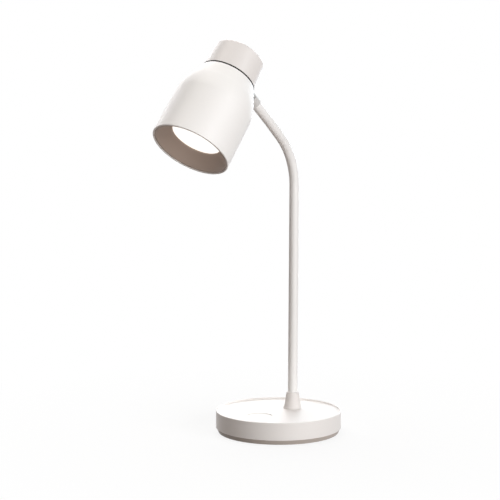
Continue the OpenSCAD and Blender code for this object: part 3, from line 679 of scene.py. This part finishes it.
def block(low: Point, high: Point, rounding: float, place: Matrix) -> bmesh.types.BMesh:
    """Makes a block between two corners, rounded along its four Z edges.

    Args:
        low: Its lowest corner in millimetres.
        high: Its highest corner.
        rounding: Radius of the four edges.
        place: The frame that the corners are in, in metres; a mirrored one is fine.

    Returns:
        The block's mesh in metres with its faces outwards.
    """
    mesh = bmesh.new()
    bmesh.ops.create_cube(mesh, size=1)
    size = Vector(high) - Vector(low)
    bmesh.ops.scale(mesh, vec=size * MM, verts=mesh.verts)
    bmesh.ops.translate(mesh, vec=(Vector(low) + Vector(high)) / 2 * MM, verts=mesh.verts)
    upright = [e for e in mesh.edges if abs(e.verts[0].co.z - e.verts[1].co.z) > size.z * MM / 2]
    bmesh.ops.bevel(mesh, geom=upright, offset=rounding * MM, offset_type="OFFSET", segments=6,
                    profile=0.5, affect="EDGES", material=-1)
    bmesh.ops.transform(mesh, matrix=place, verts=mesh.verts)
    bmesh.ops.recalc_face_normals(mesh, faces=mesh.faces)
    return mesh


# ---- Sub-assemblies ----

@dataclass
class SubAssembly:
    """A group of pieces that ride on one body.

    Attributes:
        body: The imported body's name.
    """
    body: str

    def show(self, piece: bpy.types.Object, node: str, slot: str, crease: float = CREASE) -> None:
        """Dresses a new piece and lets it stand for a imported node.

        Args:
            piece: The piece, at the origin with its place in its mesh.
            node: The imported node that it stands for.
            slot: The record's material slot.
            crease: Angle in degrees above which an edge stays sharp.
        """
        piece.name = f"{node}_skin"
        piece.data.materials.clear()
        piece.data.materials.append(SLOT_FINISH[slot].material())
        for face in piece.data.polygons:
            face.use_smooth = True
            face.material_index = 0
        piece.data.set_sharp_from_angle(angle=math.radians(crease))
        weighted = piece.modifiers.new("weighted_normals", "WEIGHTED_NORMAL")
        weighted.keep_sharp = True
        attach(piece, self.body)
        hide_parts(node)
        LOG.info("%s stands for %s: %d faces", piece.name, node, len(piece.data.polygons))

    def dress_nodes(self) -> None:
        """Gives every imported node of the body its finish."""
        held = frame["record"]["behaviour"]["bodies"][self.body]
        for part in frame["record"]["subparts"]:
            if part["node"] in held:
                finish = SLOT_FINISH[part["material_slot"]]
                data = frame["nodes"][part["node"]].data
                data.materials.clear()
                data.materials.append(finish.material())
                LOG.info("%s has the finish %s", part["node"], finish.name)


@dataclass
class Base(SubAssembly):
    """The weighted base: cover, lower shell and pad, with what they hold."""
    body: str = "base"
    radius: float = 62.5
    facets: int = 192
    crease: float = 24.0
    # Cover: a shell with a narrow rim round its recessed top.
    rim_z: float = 22.6
    rim_w: float = 1.4
    rim_round: float = 0.5
    dish_depth: float = 1.8
    dish_round: float = 1.2
    top_t: float = 2.2
    cover_wall: float = 2.0
    cover_edge: float = 0.15
    inner_round: float = 0.5
    split_z: float = 5.5
    # Round recess for the finger, in front of the tube.
    touch_y: float = 28.0
    touch_r: float = 12.5
    touch_depth: float = 0.6
    touch_round: float = 0.15
    touch_facets: int = 128
    # Window round the inlet, cut from inside the side wall outwards.
    window_gap: float = 0.2
    window_round: float = 1.5
    window_in: float = 4.0
    window_reach: float = 6.0
    # Lower shell: its skirt slopes in towards the foot, and its lip stands inside the cover.
    tray_z: float = 1.0
    floor_z: float = 3.0
    skirt_in: float = 2.5
    skirt_round: float = 0.4
    step_in: float = 0.5
    step_round: float = 0.2
    lip_gap: float = 0.15
    lip_t: float = 1.5
    lip_h: float = 2.5
    lip_round: float = 0.3
    # Pad, with three shallow rings in its underside.
    pad_radius: float = 56.0
    pad_t: float = 1.4
    pad_round: float = 0.4
    ring_radii: tuple[float, ...] = (50, 38, 26)
    ring_half: float = 0.8
    ring_floor_half: float = 0.4
    ring_depth: float = 0.4

    @property
    def dish_z(self) -> float:
        """Height of the recessed top."""
        return self.rim_z - self.dish_depth

    def build(self) -> None:
        """Builds and dresses the base."""
        self.dress_nodes()
        self.cover()
        self.tray()
        self.pad()

    def cover(self) -> None:
        """Makes the upper shell with its recessed top, touch mark, hole for the tube and inlet window."""
        ceiling = self.dish_z - self.top_t
        inner = self.radius - self.cover_wall
        rim_in = self.radius - self.rim_w
        shell = to_object(turned([
            Corner(0, self.dish_z),
            Corner(rim_in, self.dish_z, self.dish_round, 8),
            Corner(rim_in, self.rim_z, self.rim_round, 5),
            Corner(self.radius, self.rim_z, self.rim_round, 6),
            Corner(self.radius, self.split_z, self.cover_edge, 2),
            Corner(inner, self.split_z),
            Corner(inner, ceiling, self.inner_round, 3),
            Corner(0, ceiling)], self.facets), "cover")
        cut(shell, self.touch_tool())
        foot = Matrix.Translation((0, FOOT_Y * MM, 0))
        cut(shell, rod(TUBE_R + FIT, ceiling - PAST, self.dish_z + PAST, TUBE_FACETS, foot))
        cut(shell, self.window_tool())
        self.show(shell, "base_cover", "cover_plastic", self.crease)

    def touch_tool(self) -> bmesh.types.BMesh:
        """Makes the shallow round shape that is sunk into the top.

        Returns:
            The shape's mesh in metres.
        """
        low, high = self.dish_z - self.touch_depth, self.dish_z + PAST
        return turned([
            Corner(0, low),
            Corner(self.touch_r, low, self.touch_round, 3),
            Corner(self.touch_r, high),
            Corner(0, high)], self.touch_facets, Matrix.Translation((0, -self.touch_y * MM, 0)))

    def window_tool(self) -> bmesh.types.BMesh:
        """Makes the rounded block that opens the side wall for the inlet.

        Returns:
            The block's mesh in metres, drawn with the inlet's height along Y and then stood up.
        """
        low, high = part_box("charging_inlet")
        gap = self.window_gap
        start = Matrix.Translation((0, (self.radius - self.window_in) * MM, 0))
        return block((low.x / MM - gap, low.z / MM - gap, 0),
                     (high.x / MM + gap, high.z / MM + gap, self.window_reach),
                     self.window_round, start @ SWAP_YZ)

    def tray(self) -> None:
        """Makes the lower shell with its sloping skirt and locating lip."""
        lip = self.radius - self.cover_wall - self.lip_gap
        lip_top = self.split_z + self.lip_h
        recess = self.pad_radius + FIT
        shell = to_object(turned([
            Corner(0, self.pad_t),
            Corner(recess, self.pad_t),
            Corner(recess, self.tray_z),
            Corner(self.radius - self.skirt_in, self.tray_z, self.skirt_round, 4),
            Corner(self.radius - self.step_in, self.split_z, self.step_round, 3),
            Corner(lip, self.split_z),
            Corner(lip, lip_top, self.lip_round, 3),
            Corner(lip - self.lip_t, lip_top, self.lip_round, 3),
            Corner(lip - self.lip_t, self.floor_z, self.inner_round, 3),
            Corner(0, self.floor_z)], self.facets), "tray")
        self.show(shell, "base_tray", "tray_plastic", self.crease)

    def pad(self) -> None:
        """Makes the anti-slip pad with its rounded edge and three shallow rings."""
        outline = [
            Corner(0, self.pad_t),
            Corner(self.pad_radius, self.pad_t),
            Corner(self.pad_radius, 0, self.pad_round, 4)]
        for middle in self.ring_radii:
            outline += [
                Corner(middle + self.ring_half, 0),
                Corner(middle + self.ring_floor_half, self.ring_depth),
                Corner(middle - self.ring_floor_half, self.ring_depth),
                Corner(middle - self.ring_half, 0)]
        outline.append(Corner(0, 0))
        self.show(to_object(turned(outline, self.facets), "pad"), "antislip_pad", "pad_rubber")


@dataclass
class Arm(SubAssembly):
    """The bent tube and the cone at its foot."""
    body: str = "base"
    foot_z: float = 20.8
    lean: float = 0.4
    # Tube: straight from below the top, round a tight bend, and on along a very wide one.
    below: float = 8.2
    straight: float = 225.2
    bend_r: float = 64.8
    bend_turn: float = 47.6
    upper_r: float = 755.0
    upper_turn: float = 3.7
    wall: float = 1.0
    straight_rings: int = 12
    bend_rings: int = 40
    upper_rings: int = 12
    tube_crease: float = 60.0
    # Cone: a low upright foot, a hollow flare, a straight flank and a band round the tube.
    foot_r: float = 9.4
    foot_h: float = 0.5
    flare_in: float = 1.0
    flare_z: float = 2.5
    flare_round: float = 6.0
    top_r: float = 6.2
    cone_h: float = 16.6
    band_h: float = 1.2
    flank_out: float = 0.3
    flank_down: float = 1.8
    edge_round: float = 0.2
    foot_round: float = 0.3
    top_round: float = 0.5
    hollow_r: float = 7.45
    hollow_z: float = 2.55
    hollow_top: float = 5.5
    cone_facets: int = 96

    @property
    def foot(self) -> Matrix:
        """The tube's frame where it leaves the base: +Z up the tube, +Y away from the bend."""
        lean = Matrix.Rotation(math.radians(-self.lean), 4, "X")
        return Matrix.Translation((0, FOOT_Y * MM, self.foot_z * MM)) @ lean

    def build(self) -> None:
        """Builds the arm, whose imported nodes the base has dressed."""
        self.tube()
        self.cone()

    def tube(self) -> None:
        """Draws the tube: a ring drawn straight up, then round both bends."""
        mesh = bmesh.new()
        bmesh.ops.create_circle(mesh, cap_ends=False, segments=TUBE_FACETS, radius=TUBE_R * MM)
        bmesh.ops.translate(mesh, vec=(0, 0, -self.below * MM), verts=mesh.verts)
        edges = self.draw(mesh, mesh.edges[:], self.below + self.straight, self.straight_rings)
        edges = self.turn(mesh, edges, (0, -self.bend_r, self.straight), self.bend_turn, self.bend_rings)
        knee = math.radians(self.bend_turn)
        reach = self.upper_r - self.bend_r
        centre = (0, -self.bend_r - reach * math.cos(knee), self.straight - reach * math.sin(knee))
        self.turn(mesh, edges, centre, self.upper_turn, self.upper_rings)
        bmesh.ops.recalc_face_normals(mesh, faces=mesh.faces)
        # An open tube has no inside that the operator could find, so one face tells which way it went.
        first = mesh.faces[0]
        if first.normal.dot(first.calc_center_median().xy.to_3d()) < 0:
            bmesh.ops.reverse_faces(mesh, faces=mesh.faces)
        bmesh.ops.transform(mesh, matrix=self.foot, verts=mesh.verts)
        piece = to_object(mesh, "tube")
        wall = piece.modifiers.new("wall", "SOLIDIFY")
        wall.thickness = self.wall * MM
        wall.offset = -1
        self.show(piece, "arm_tube", "tube_paint", self.tube_crease)

    def draw(self, mesh: bmesh.types.BMesh, edges: Ring, length: float, steps: int) -> Ring:
        """Draws a ring of edges straight up.

        Args:
            mesh: The mesh.
            edges: The ring's edges.
            length: How far in millimetres.
            steps: Number of rings on the way.

        Returns:
            The last ring's edges.
        """
        for _ in range(steps):
            made = bmesh.ops.extrude_edge_only(mesh, edges=edges)["geom"]
            verts = [g for g in made if isinstance(g, bmesh.types.BMVert)]
            edges = [g for g in made if isinstance(g, bmesh.types.BMEdge)
                     and all(v in verts for v in g.verts)]
            bmesh.ops.translate(mesh, vec=(0, 0, length / steps * MM), verts=verts)
        return edges

    def turn(self, mesh: bmesh.types.BMesh, edges: Ring, centre: Point, degrees: float, steps: int) -> Ring:
        """Draws a ring of edges round a bend.

        Args:
            mesh: The mesh.
            edges: The ring's edges.
            centre: A point on the bend's axis, which runs along X, in millimetres.
            degrees: How far it turns towards -Y.
            steps: Number of rings on the way.

        Returns:
            The last ring's edges.
        """
        made = bmesh.ops.spin(mesh, geom=edges, cent=Vector(centre) * MM, axis=(1, 0, 0),
                              angle=math.radians(degrees), steps=steps, use_merge=False, use_duplicate=False)
        return [g for g in made["geom_last"] if isinstance(g, bmesh.types.BMEdge)]

    def cone(self) -> None:
        """Makes the cone that hides the tube's fixing, hollow round the flange."""
        bore = TUBE_R + FIT
        piece = to_object(turned([
            Corner(self.hollow_r, 0),
            Corner(self.foot_r, 0, self.edge_round, 2),
            Corner(self.foot_r, self.foot_h, self.foot_round, 3),
            Corner(self.foot_r - self.flare_in, self.flare_z, self.flare_round, 6),
            Corner(self.top_r + self.flank_out, self.cone_h - self.flank_down, self.edge_round, 2),
            Corner(self.top_r, self.cone_h - self.band_h, self.edge_round, 2),
            Corner(self.top_r, self.cone_h, self.top_round, 5),
            Corner(bore, self.cone_h),
            Corner(bore, self.hollow_top),
            Corner(self.hollow_r, self.hollow_z)], self.cone_facets, self.foot), "cone")
        self.show(piece, "foot_cone", "cone_plastic")


@dataclass
class Neck(SubAssembly):
    """The fork that turns on the tube's end, with its screws and washers."""
    body: str = "neck"

    def build(self) -> None:
        """Dresses the neck."""
        self.dress_nodes()


@dataclass
class Head(SubAssembly):
    """The bell-shaped shade, the rear cap, the seam between them and the light."""
    body: str = "head"
    pitch: float = 37.0
    hinge_out: float = 33.3
    hinge_up: float = 5.6
    facets: int = 192
    # Shade: drafted side, wide shoulder, and a web with a hole across its top.
    shade_l: float = 83.0
    mouth_r: float = 38.05
    mouth_round: float = 0.7
    draft: float = 0.5
    slope: float = 24.2
    shoulder_r: float = 43.0
    shoulder_steps: int = 24
    top_r: float = 26.9
    top_round: float = 0.45
    wall: float = 1.5
    web_t: float = 2.0
    web_hole_r: float = 9.0
    # Seam ring, which stays just behind the shade's edge.
    seam_h: float = 0.7
    seam_back: float = 0.1
    seam_lap: float = 0.7
    seam_low_round: float = 0.05
    seam_top_round: float = 0.12
    # Rear cap.
    cap_r: float = 26.0
    cap_l: float = 27.3
    cap_draft: float = 1.2
    cap_wall: float = 1.8
    cap_round: float = 3.0
    cap_edge: float = 0.25
    cap_inner_round: float = 2.0
    # Lit opening, with the diffuser seated behind it.
    light_z: float = -69.6
    light_r: float = 24.5
    light_edge: float = 0.2
    seat_t: float = 1.0
    seat_w: float = 1.6
    diffuser_t: float = 2.0
    diffuser_round: float = 0.5
    # Glare baffle, from just inside the mouth to the lit opening.
    baffle_wall: float = 1.8
    baffle_back: float = 0.8
    baffle_round: float = 0.6
    baffle_edge: float = 0.2

    @property
    def place(self) -> Matrix:
        """The head's frame: +Z along its axis away from the mouth, +Y towards the hinge.

        Returns:
            The frame in metres.
        """
        hinge = Vector(next(j for j in frame["joints"] if j["name"] == "head_tilt")["pos_m"])
        tilt = Matrix.Rotation(math.radians(-self.pitch), 4, "X")
        hang = Matrix.Translation((0, -self.hinge_out * MM, -self.hinge_up * MM))
        return Matrix.Translation(hinge) @ tilt @ hang

    def side_at(self, z: float, depth: float) -> float:
        """Gives the radius of the shade's side at a height, a given depth inside its skin."""
        draft = math.radians(self.draft)
        return self.mouth_r - (z + self.shade_l) * math.tan(draft) - depth / math.cos(draft)

    def shoulder_at(self, z: float, depth: float) -> float:
        """Gives the radius of the shade's shoulder at a height, a given depth inside its skin."""
        slope = math.radians(self.slope)
        return self.top_r - (z + self.seam_h) * math.tan(slope) - depth / math.cos(slope)

    def bend(self, depth: float) -> Corner:
        """Finds the corner where the shoulder meets the side, with its wide rounding.

        Args:
            depth: How far the surface lies inside the shade's skin.

        Returns:
            The corner.
        """
        draft, slope = math.tan(math.radians(self.draft)), math.tan(math.radians(self.slope))
        side, shoulder = self.side_at(0, depth), self.shoulder_at(0, depth)
        z = (shoulder - side) / (slope - draft)
        return Corner(self.side_at(z, depth), z, self.shoulder_r - depth, self.shoulder_steps)

    def build(self) -> None:
        """Builds and dresses the head."""
        self.dress_nodes()
        self.shade()
        self.cap()
        self.seam()
        self.baffle()
        self.diffuser()

    def shade(self) -> None:
        """Makes the bell with the web across its top and a rounded mouth."""
        low, web = -self.shade_l, -self.seam_h - self.web_t
        piece = to_object(turned([
            Corner(self.web_hole_r, -self.seam_h),
            Corner(self.top_r, -self.seam_h, self.top_round, 4),
            self.bend(0),
            Corner(self.side_at(low, 0), low, self.mouth_round, 6),
            Corner(self.side_at(low, self.wall), low, self.mouth_round, 6),
            self.bend(self.wall),
            Corner(self.shoulder_at(web, self.wall), web),
            Corner(self.web_hole_r, web)], self.facets, self.place), "shade")
        self.show(piece, "shade", "shade_plastic")

    def cap(self) -> None:
        """Makes the rear cap, a plain turned shell with a soft edge round its back."""
        top = self.seam_h + self.cap_l
        narrow = self.cap_l * math.tan(math.radians(self.cap_draft))
        inner = self.cap_r - self.cap_wall
        piece = to_object(turned([
            Corner(0, top),
            Corner(self.cap_r - narrow, top, self.cap_round, 10),
            Corner(self.cap_r, self.seam_h, self.cap_edge, 3),
            Corner(inner, self.seam_h),
            Corner(inner - narrow, top - self.cap_wall, self.cap_inner_round, 5),
            Corner(0, top - self.cap_wall)], self.facets, self.place), "cap")
        self.show(piece, "rear_cap", "cap_plastic")

    def seam(self) -> None:
        """Makes the dark ring in the seam."""
        outer, inner = self.top_r - self.seam_back, self.cap_r - self.cap_wall - self.seam_lap
        piece = to_object(turned([
            Corner(outer, -self.seam_h, self.seam_low_round, 2),
            Corner(outer, self.seam_h, self.seam_top_round, 3),
            Corner(inner, self.seam_h),
            Corner(inner, -self.seam_h)], self.facets, self.place), "seam")
        # The ring's near-black also paints the shade in the gap between cap and shade.
        self.show(piece, "seam_ring", "seam_plastic")

    def baffle(self) -> None:
        """Makes the dark funnel between the mouth and the lit opening, with the diffuser's seat behind it."""
        low = -self.shade_l + self.baffle_back
        band, seat = low + self.baffle_wall, self.light_z + self.seat_t
        mouth = self.side_at(low, self.wall) - FIT
        piece = to_object(turned([
            Corner(mouth - self.baffle_wall, low, self.baffle_round, 4),
            Corner(mouth, low, self.baffle_edge, 2),
            Corner(self.side_at(band, self.wall) - FIT, band),
            Corner(self.light_r + self.seat_w, seat),
            Corner(self.light_r, seat),
            Corner(self.light_r, self.light_z, self.light_edge, 3)], self.facets, self.place), "baffle")
        # The funnel's dark taupe is painted shade for the inside of the bell.
        self.show(piece, "glare_baffle", "baffle_plastic")

    def diffuser(self) -> None:
        """Makes the opal disc with a rounded front edge."""
        front, rim = self.light_z + self.seat_t, self.light_r + self.seat_w
        back = front + self.diffuser_t
        piece = to_object(turned([
            Corner(0, front),
            Corner(rim, front, self.diffuser_round, 4),
            Corner(rim, back),
            Corner(0, back)], self.facets, self.place), "diffuser")
        self.show(piece, "diffuser", "diffuser_opal")


# ---- Studio ----

class Side(Enum):
    """Where a studio lamp stands, as seen by the photographer."""
    ABOVE = "above"
    FRONT = "front"
    FRONT_RIGHT = "front_right"
    BACK = "back"
    BACK_RIGHT = "back_right"


def direction(azimuth: float, height: float) -> Vector:
    """Gives the way from the desk lamp to what stands round it.

    Args:
        azimuth: Degrees round the desk lamp, 0 in front and 90 to +X.
        height: Degrees above the floor.

    Returns:
        A vector of length 1.
    """
    turn, rise = math.radians(azimuth), math.radians(height)
    return Vector((math.sin(turn) * math.cos(rise), -math.cos(turn) * math.cos(rise), math.sin(rise)))


@dataclass(frozen=True)
class SoftLamp:
    """A square soft box.

    Attributes:
        side: Where it stands.
        azimuth: Its direction round the desk lamp in degrees, 0 in front and 90 to +X.
        height: Its angle above the floor in degrees.
        size: Side of the square in metres.
        level: How strongly it lights a surface that faces it, 1 being plain white.
        colour: sRGB hex colour.
    """
    side: Side
    azimuth: float
    height: float
    size: float
    level: float
    colour: str


@dataclass
class Studio:
    """A plain pale floor, soft lamps and the camera at the photograph's viewing angle.

    The camera comes from the ellipses of the base and the head in the picture. Its distance, raise and shift
    aside are in millimetres; the floor, the lamps and what they aim at are in metres.
    """
    azimuth: float = 42.66
    elevation: float = 4.9
    distance: float = 1269.63
    aside: float = -28.47
    raised: float = 182.89
    focal_px: float = 1281.49
    image_px: float = 500.0
    sensor: float = 36.0
    # What lights the shadows evenly, and how strongly.
    room: str = "#f6e9e0"
    room_level: float = 0.01
    # Floor: paper with fibres some millimetres long, fading to white from fade_from to fade_to.
    paper: str = "#f7f5f3"
    bounce: str = "#7f7067"
    fibre: float = 4.0
    floor_radius: float = 3.0
    floor_facets: int = 128
    fade_from: float = 0.1
    fade_to: float = 0.4
    fade_near: float = 0.85
    # Lamps, all as far from the point that they aim at.
    lamp_distance: float = 4.0
    target: Point = (0.0, -0.03, 0.2)
    lamps: tuple[SoftLamp, ...] = (
        SoftLamp(Side.ABOVE, azimuth=-45, height=74, size=2.6, level=0.42, colour="#fffaf4"),
        SoftLamp(Side.FRONT, azimuth=60, height=9, size=1.8, level=0.32, colour="#fffefc"),
        SoftLamp(Side.FRONT_RIGHT, azimuth=89, height=12, size=2.2, level=0.67, colour="#f9fcff"),
        SoftLamp(Side.BACK, azimuth=-116, height=37, size=3.6, level=0.74, colour="#fcfcff"),
        SoftLamp(Side.BACK_RIGHT, azimuth=200, height=12, size=2.2, level=0.42, colour="#eaf6ff"))

    def build(self) -> None:
        """Sets up camera, world, floor and lamps."""
        bpy.context.scene.view_settings.view_transform = "Standard"
        self.camera()
        self.world()
        self.floor()
        for box in self.lamps:
            self.lamp(box)

    def camera(self) -> None:
        """Places the camera."""
        turn = math.radians(self.azimuth)
        right = Vector((math.cos(turn), math.sin(turn), 0))
        back = direction(self.azimuth, self.elevation)
        data = bpy.data.cameras.new("camera")
        data.sensor_width = self.sensor
        data.lens = self.focal_px / self.image_px * self.sensor
        made = bpy.data.objects.new("camera", data)
        bpy.context.scene.collection.objects.link(made)
        where = (right * self.aside + Vector((0, 0, self.raised)) + back * self.distance) * MM
        axes = Matrix([*zip(right, back.cross(right), back)]).to_4x4()
        made.matrix_world = Matrix.Translation(where) @ axes
        bpy.context.scene.camera = made

    def world(self) -> None:
        """Lights the room evenly with a warm grey and shows it white behind the lamp and in its gloss."""
        world = bpy.data.worlds.new("studio")
        bpy.context.scene.world = world
        world.use_nodes = True
        tree = world.node_tree
        tree.nodes.clear()
        room = add_node(tree, "ShaderNodeBackground",
                        {"Color": linear(self.room), "Strength": self.room_level})
        white = add_node(tree, "ShaderNodeBackground", {"Color": linear(WHITE), "Strength": 1.0})
        mix = add_node(tree, "ShaderNodeMixShader",
                       {"0": self.seen(tree), "1": room.outputs[0], "2": white.outputs[0]})
        add_node(tree, "ShaderNodeOutputWorld", {"Surface": mix.outputs[0]})

    def seen(self, tree: bpy.types.NodeTree) -> Socket:
        """Tells what is looked at from what only lights the lamp.

        Args:
            tree: The node tree that takes the nodes.

        Returns:
            1 on rays from the camera and on what gloss and clear parts show, and 0 on the rest.
        """
        path = add_node(tree, "ShaderNodeLightPath").outputs
        either = add_node(tree, "ShaderNodeMath", {"0": path["Is Camera Ray"], "1": path["Is Glossy Ray"]},
                          operation="ADD", use_clamp=True)
        return add_node(tree, "ShaderNodeMath", {"0": either.outputs[0], "1": path["Is Transmission Ray"]},
                        operation="ADD", use_clamp=True).outputs[0]

    def floor(self) -> None:
        """Lays a pale round floor that keeps a soft shadow and fades to white away from the lamp."""
        mesh = bmesh.new()
        bmesh.ops.create_circle(mesh, cap_ends=True, segments=self.floor_facets, radius=self.floor_radius)
        made = to_object(mesh, "floor")
        # Pressed paper: matt and almost white, with a cloud of fibres that hardly shows.
        sheet = bpy.data.materials.new("pale_paper")
        sheet.use_nodes = True
        tree = sheet.node_tree
        tree.nodes.clear()
        seen = self.seen(tree)
        where = add_node(tree, "ShaderNodeTexCoord").outputs["Object"]
        fibre = add_node(tree, "ShaderNodeTexNoise",
                         {"Vector": where, "Scale": per_mm(self.fibre), "Detail": 3.0})
        pale = add_node(tree, "ShaderNodeMix",
                        {"0": fibre.outputs[0], "6": linear(self.paper), "7": linear(WHITE)},
                        data_type="RGBA")
        # The light it throws back is that of a grey table, so that the lamp's shadow side stays dark.
        paper = add_node(tree, "ShaderNodeMix", {"0": seen, "6": linear(self.bounce), "7": pale.outputs[2]},
                         data_type="RGBA")
        matt = add_node(tree, "ShaderNodeBsdfDiffuse", {"Color": paper.outputs[2], "Roughness": 0.5})
        white = add_node(tree, "ShaderNodeEmission", {"Color": linear(WHITE), "Strength": 1.0})
        far = add_node(tree, "ShaderNodeVectorMath", {"0": where}, operation="LENGTH")
        fade = add_node(tree, "ShaderNodeMapRange", {
            "Value": far.outputs["Value"], "From Min": self.fade_from, "From Max": self.fade_to,
            "To Min": self.fade_near, "To Max": 1.0})
        lift = add_node(tree, "ShaderNodeMath", {"0": seen, "1": fade.outputs[0]}, operation="MULTIPLY")
        mix = add_node(tree, "ShaderNodeMixShader",
                       {"0": lift.outputs[0], "1": matt.outputs[0], "2": white.outputs[0]})
        add_node(tree, "ShaderNodeOutputMaterial", {"Surface": mix.outputs[0]})
        made.data.materials.append(sheet)

    def lamp(self, box: SoftLamp) -> None:
        """Hangs a soft box and aims it at the desk lamp.

        Args:
            box: The soft box.
        """
        towards = direction(box.azimuth, box.height)
        data = bpy.data.lights.new(f"soft_box_{box.side.value}", "AREA")
        data.shape = "SQUARE"
        data.size = box.size
        data.color = linear(box.colour)[:3]
        # A lit white surface shows white when the light that reaches it is pi watts a square metre.
        data.energy = box.level * math.pi * math.pi * self.lamp_distance ** 2
        made = bpy.data.objects.new(data.name, data)
        bpy.context.scene.collection.objects.link(made)
        made.location = Vector(self.target) + towards * self.lamp_distance
        made.rotation_mode = "QUATERNION"
        made.rotation_quaternion = towards.to_track_quat("Z", "Y")
        LOG.info("%s at level %.2f", data.name, box.level)


def main() -> None:
    """Builds the studio and the lamp."""
    logging.basicConfig(level=logging.INFO, format="%(name)s: %(message)s")
    Studio().build()
    for part in (Base(), Arm(), Neck(), Head()):
        part.build()
        LOG.info("%s done", type(part).__name__)


if __name__ == "__main__":
    main()
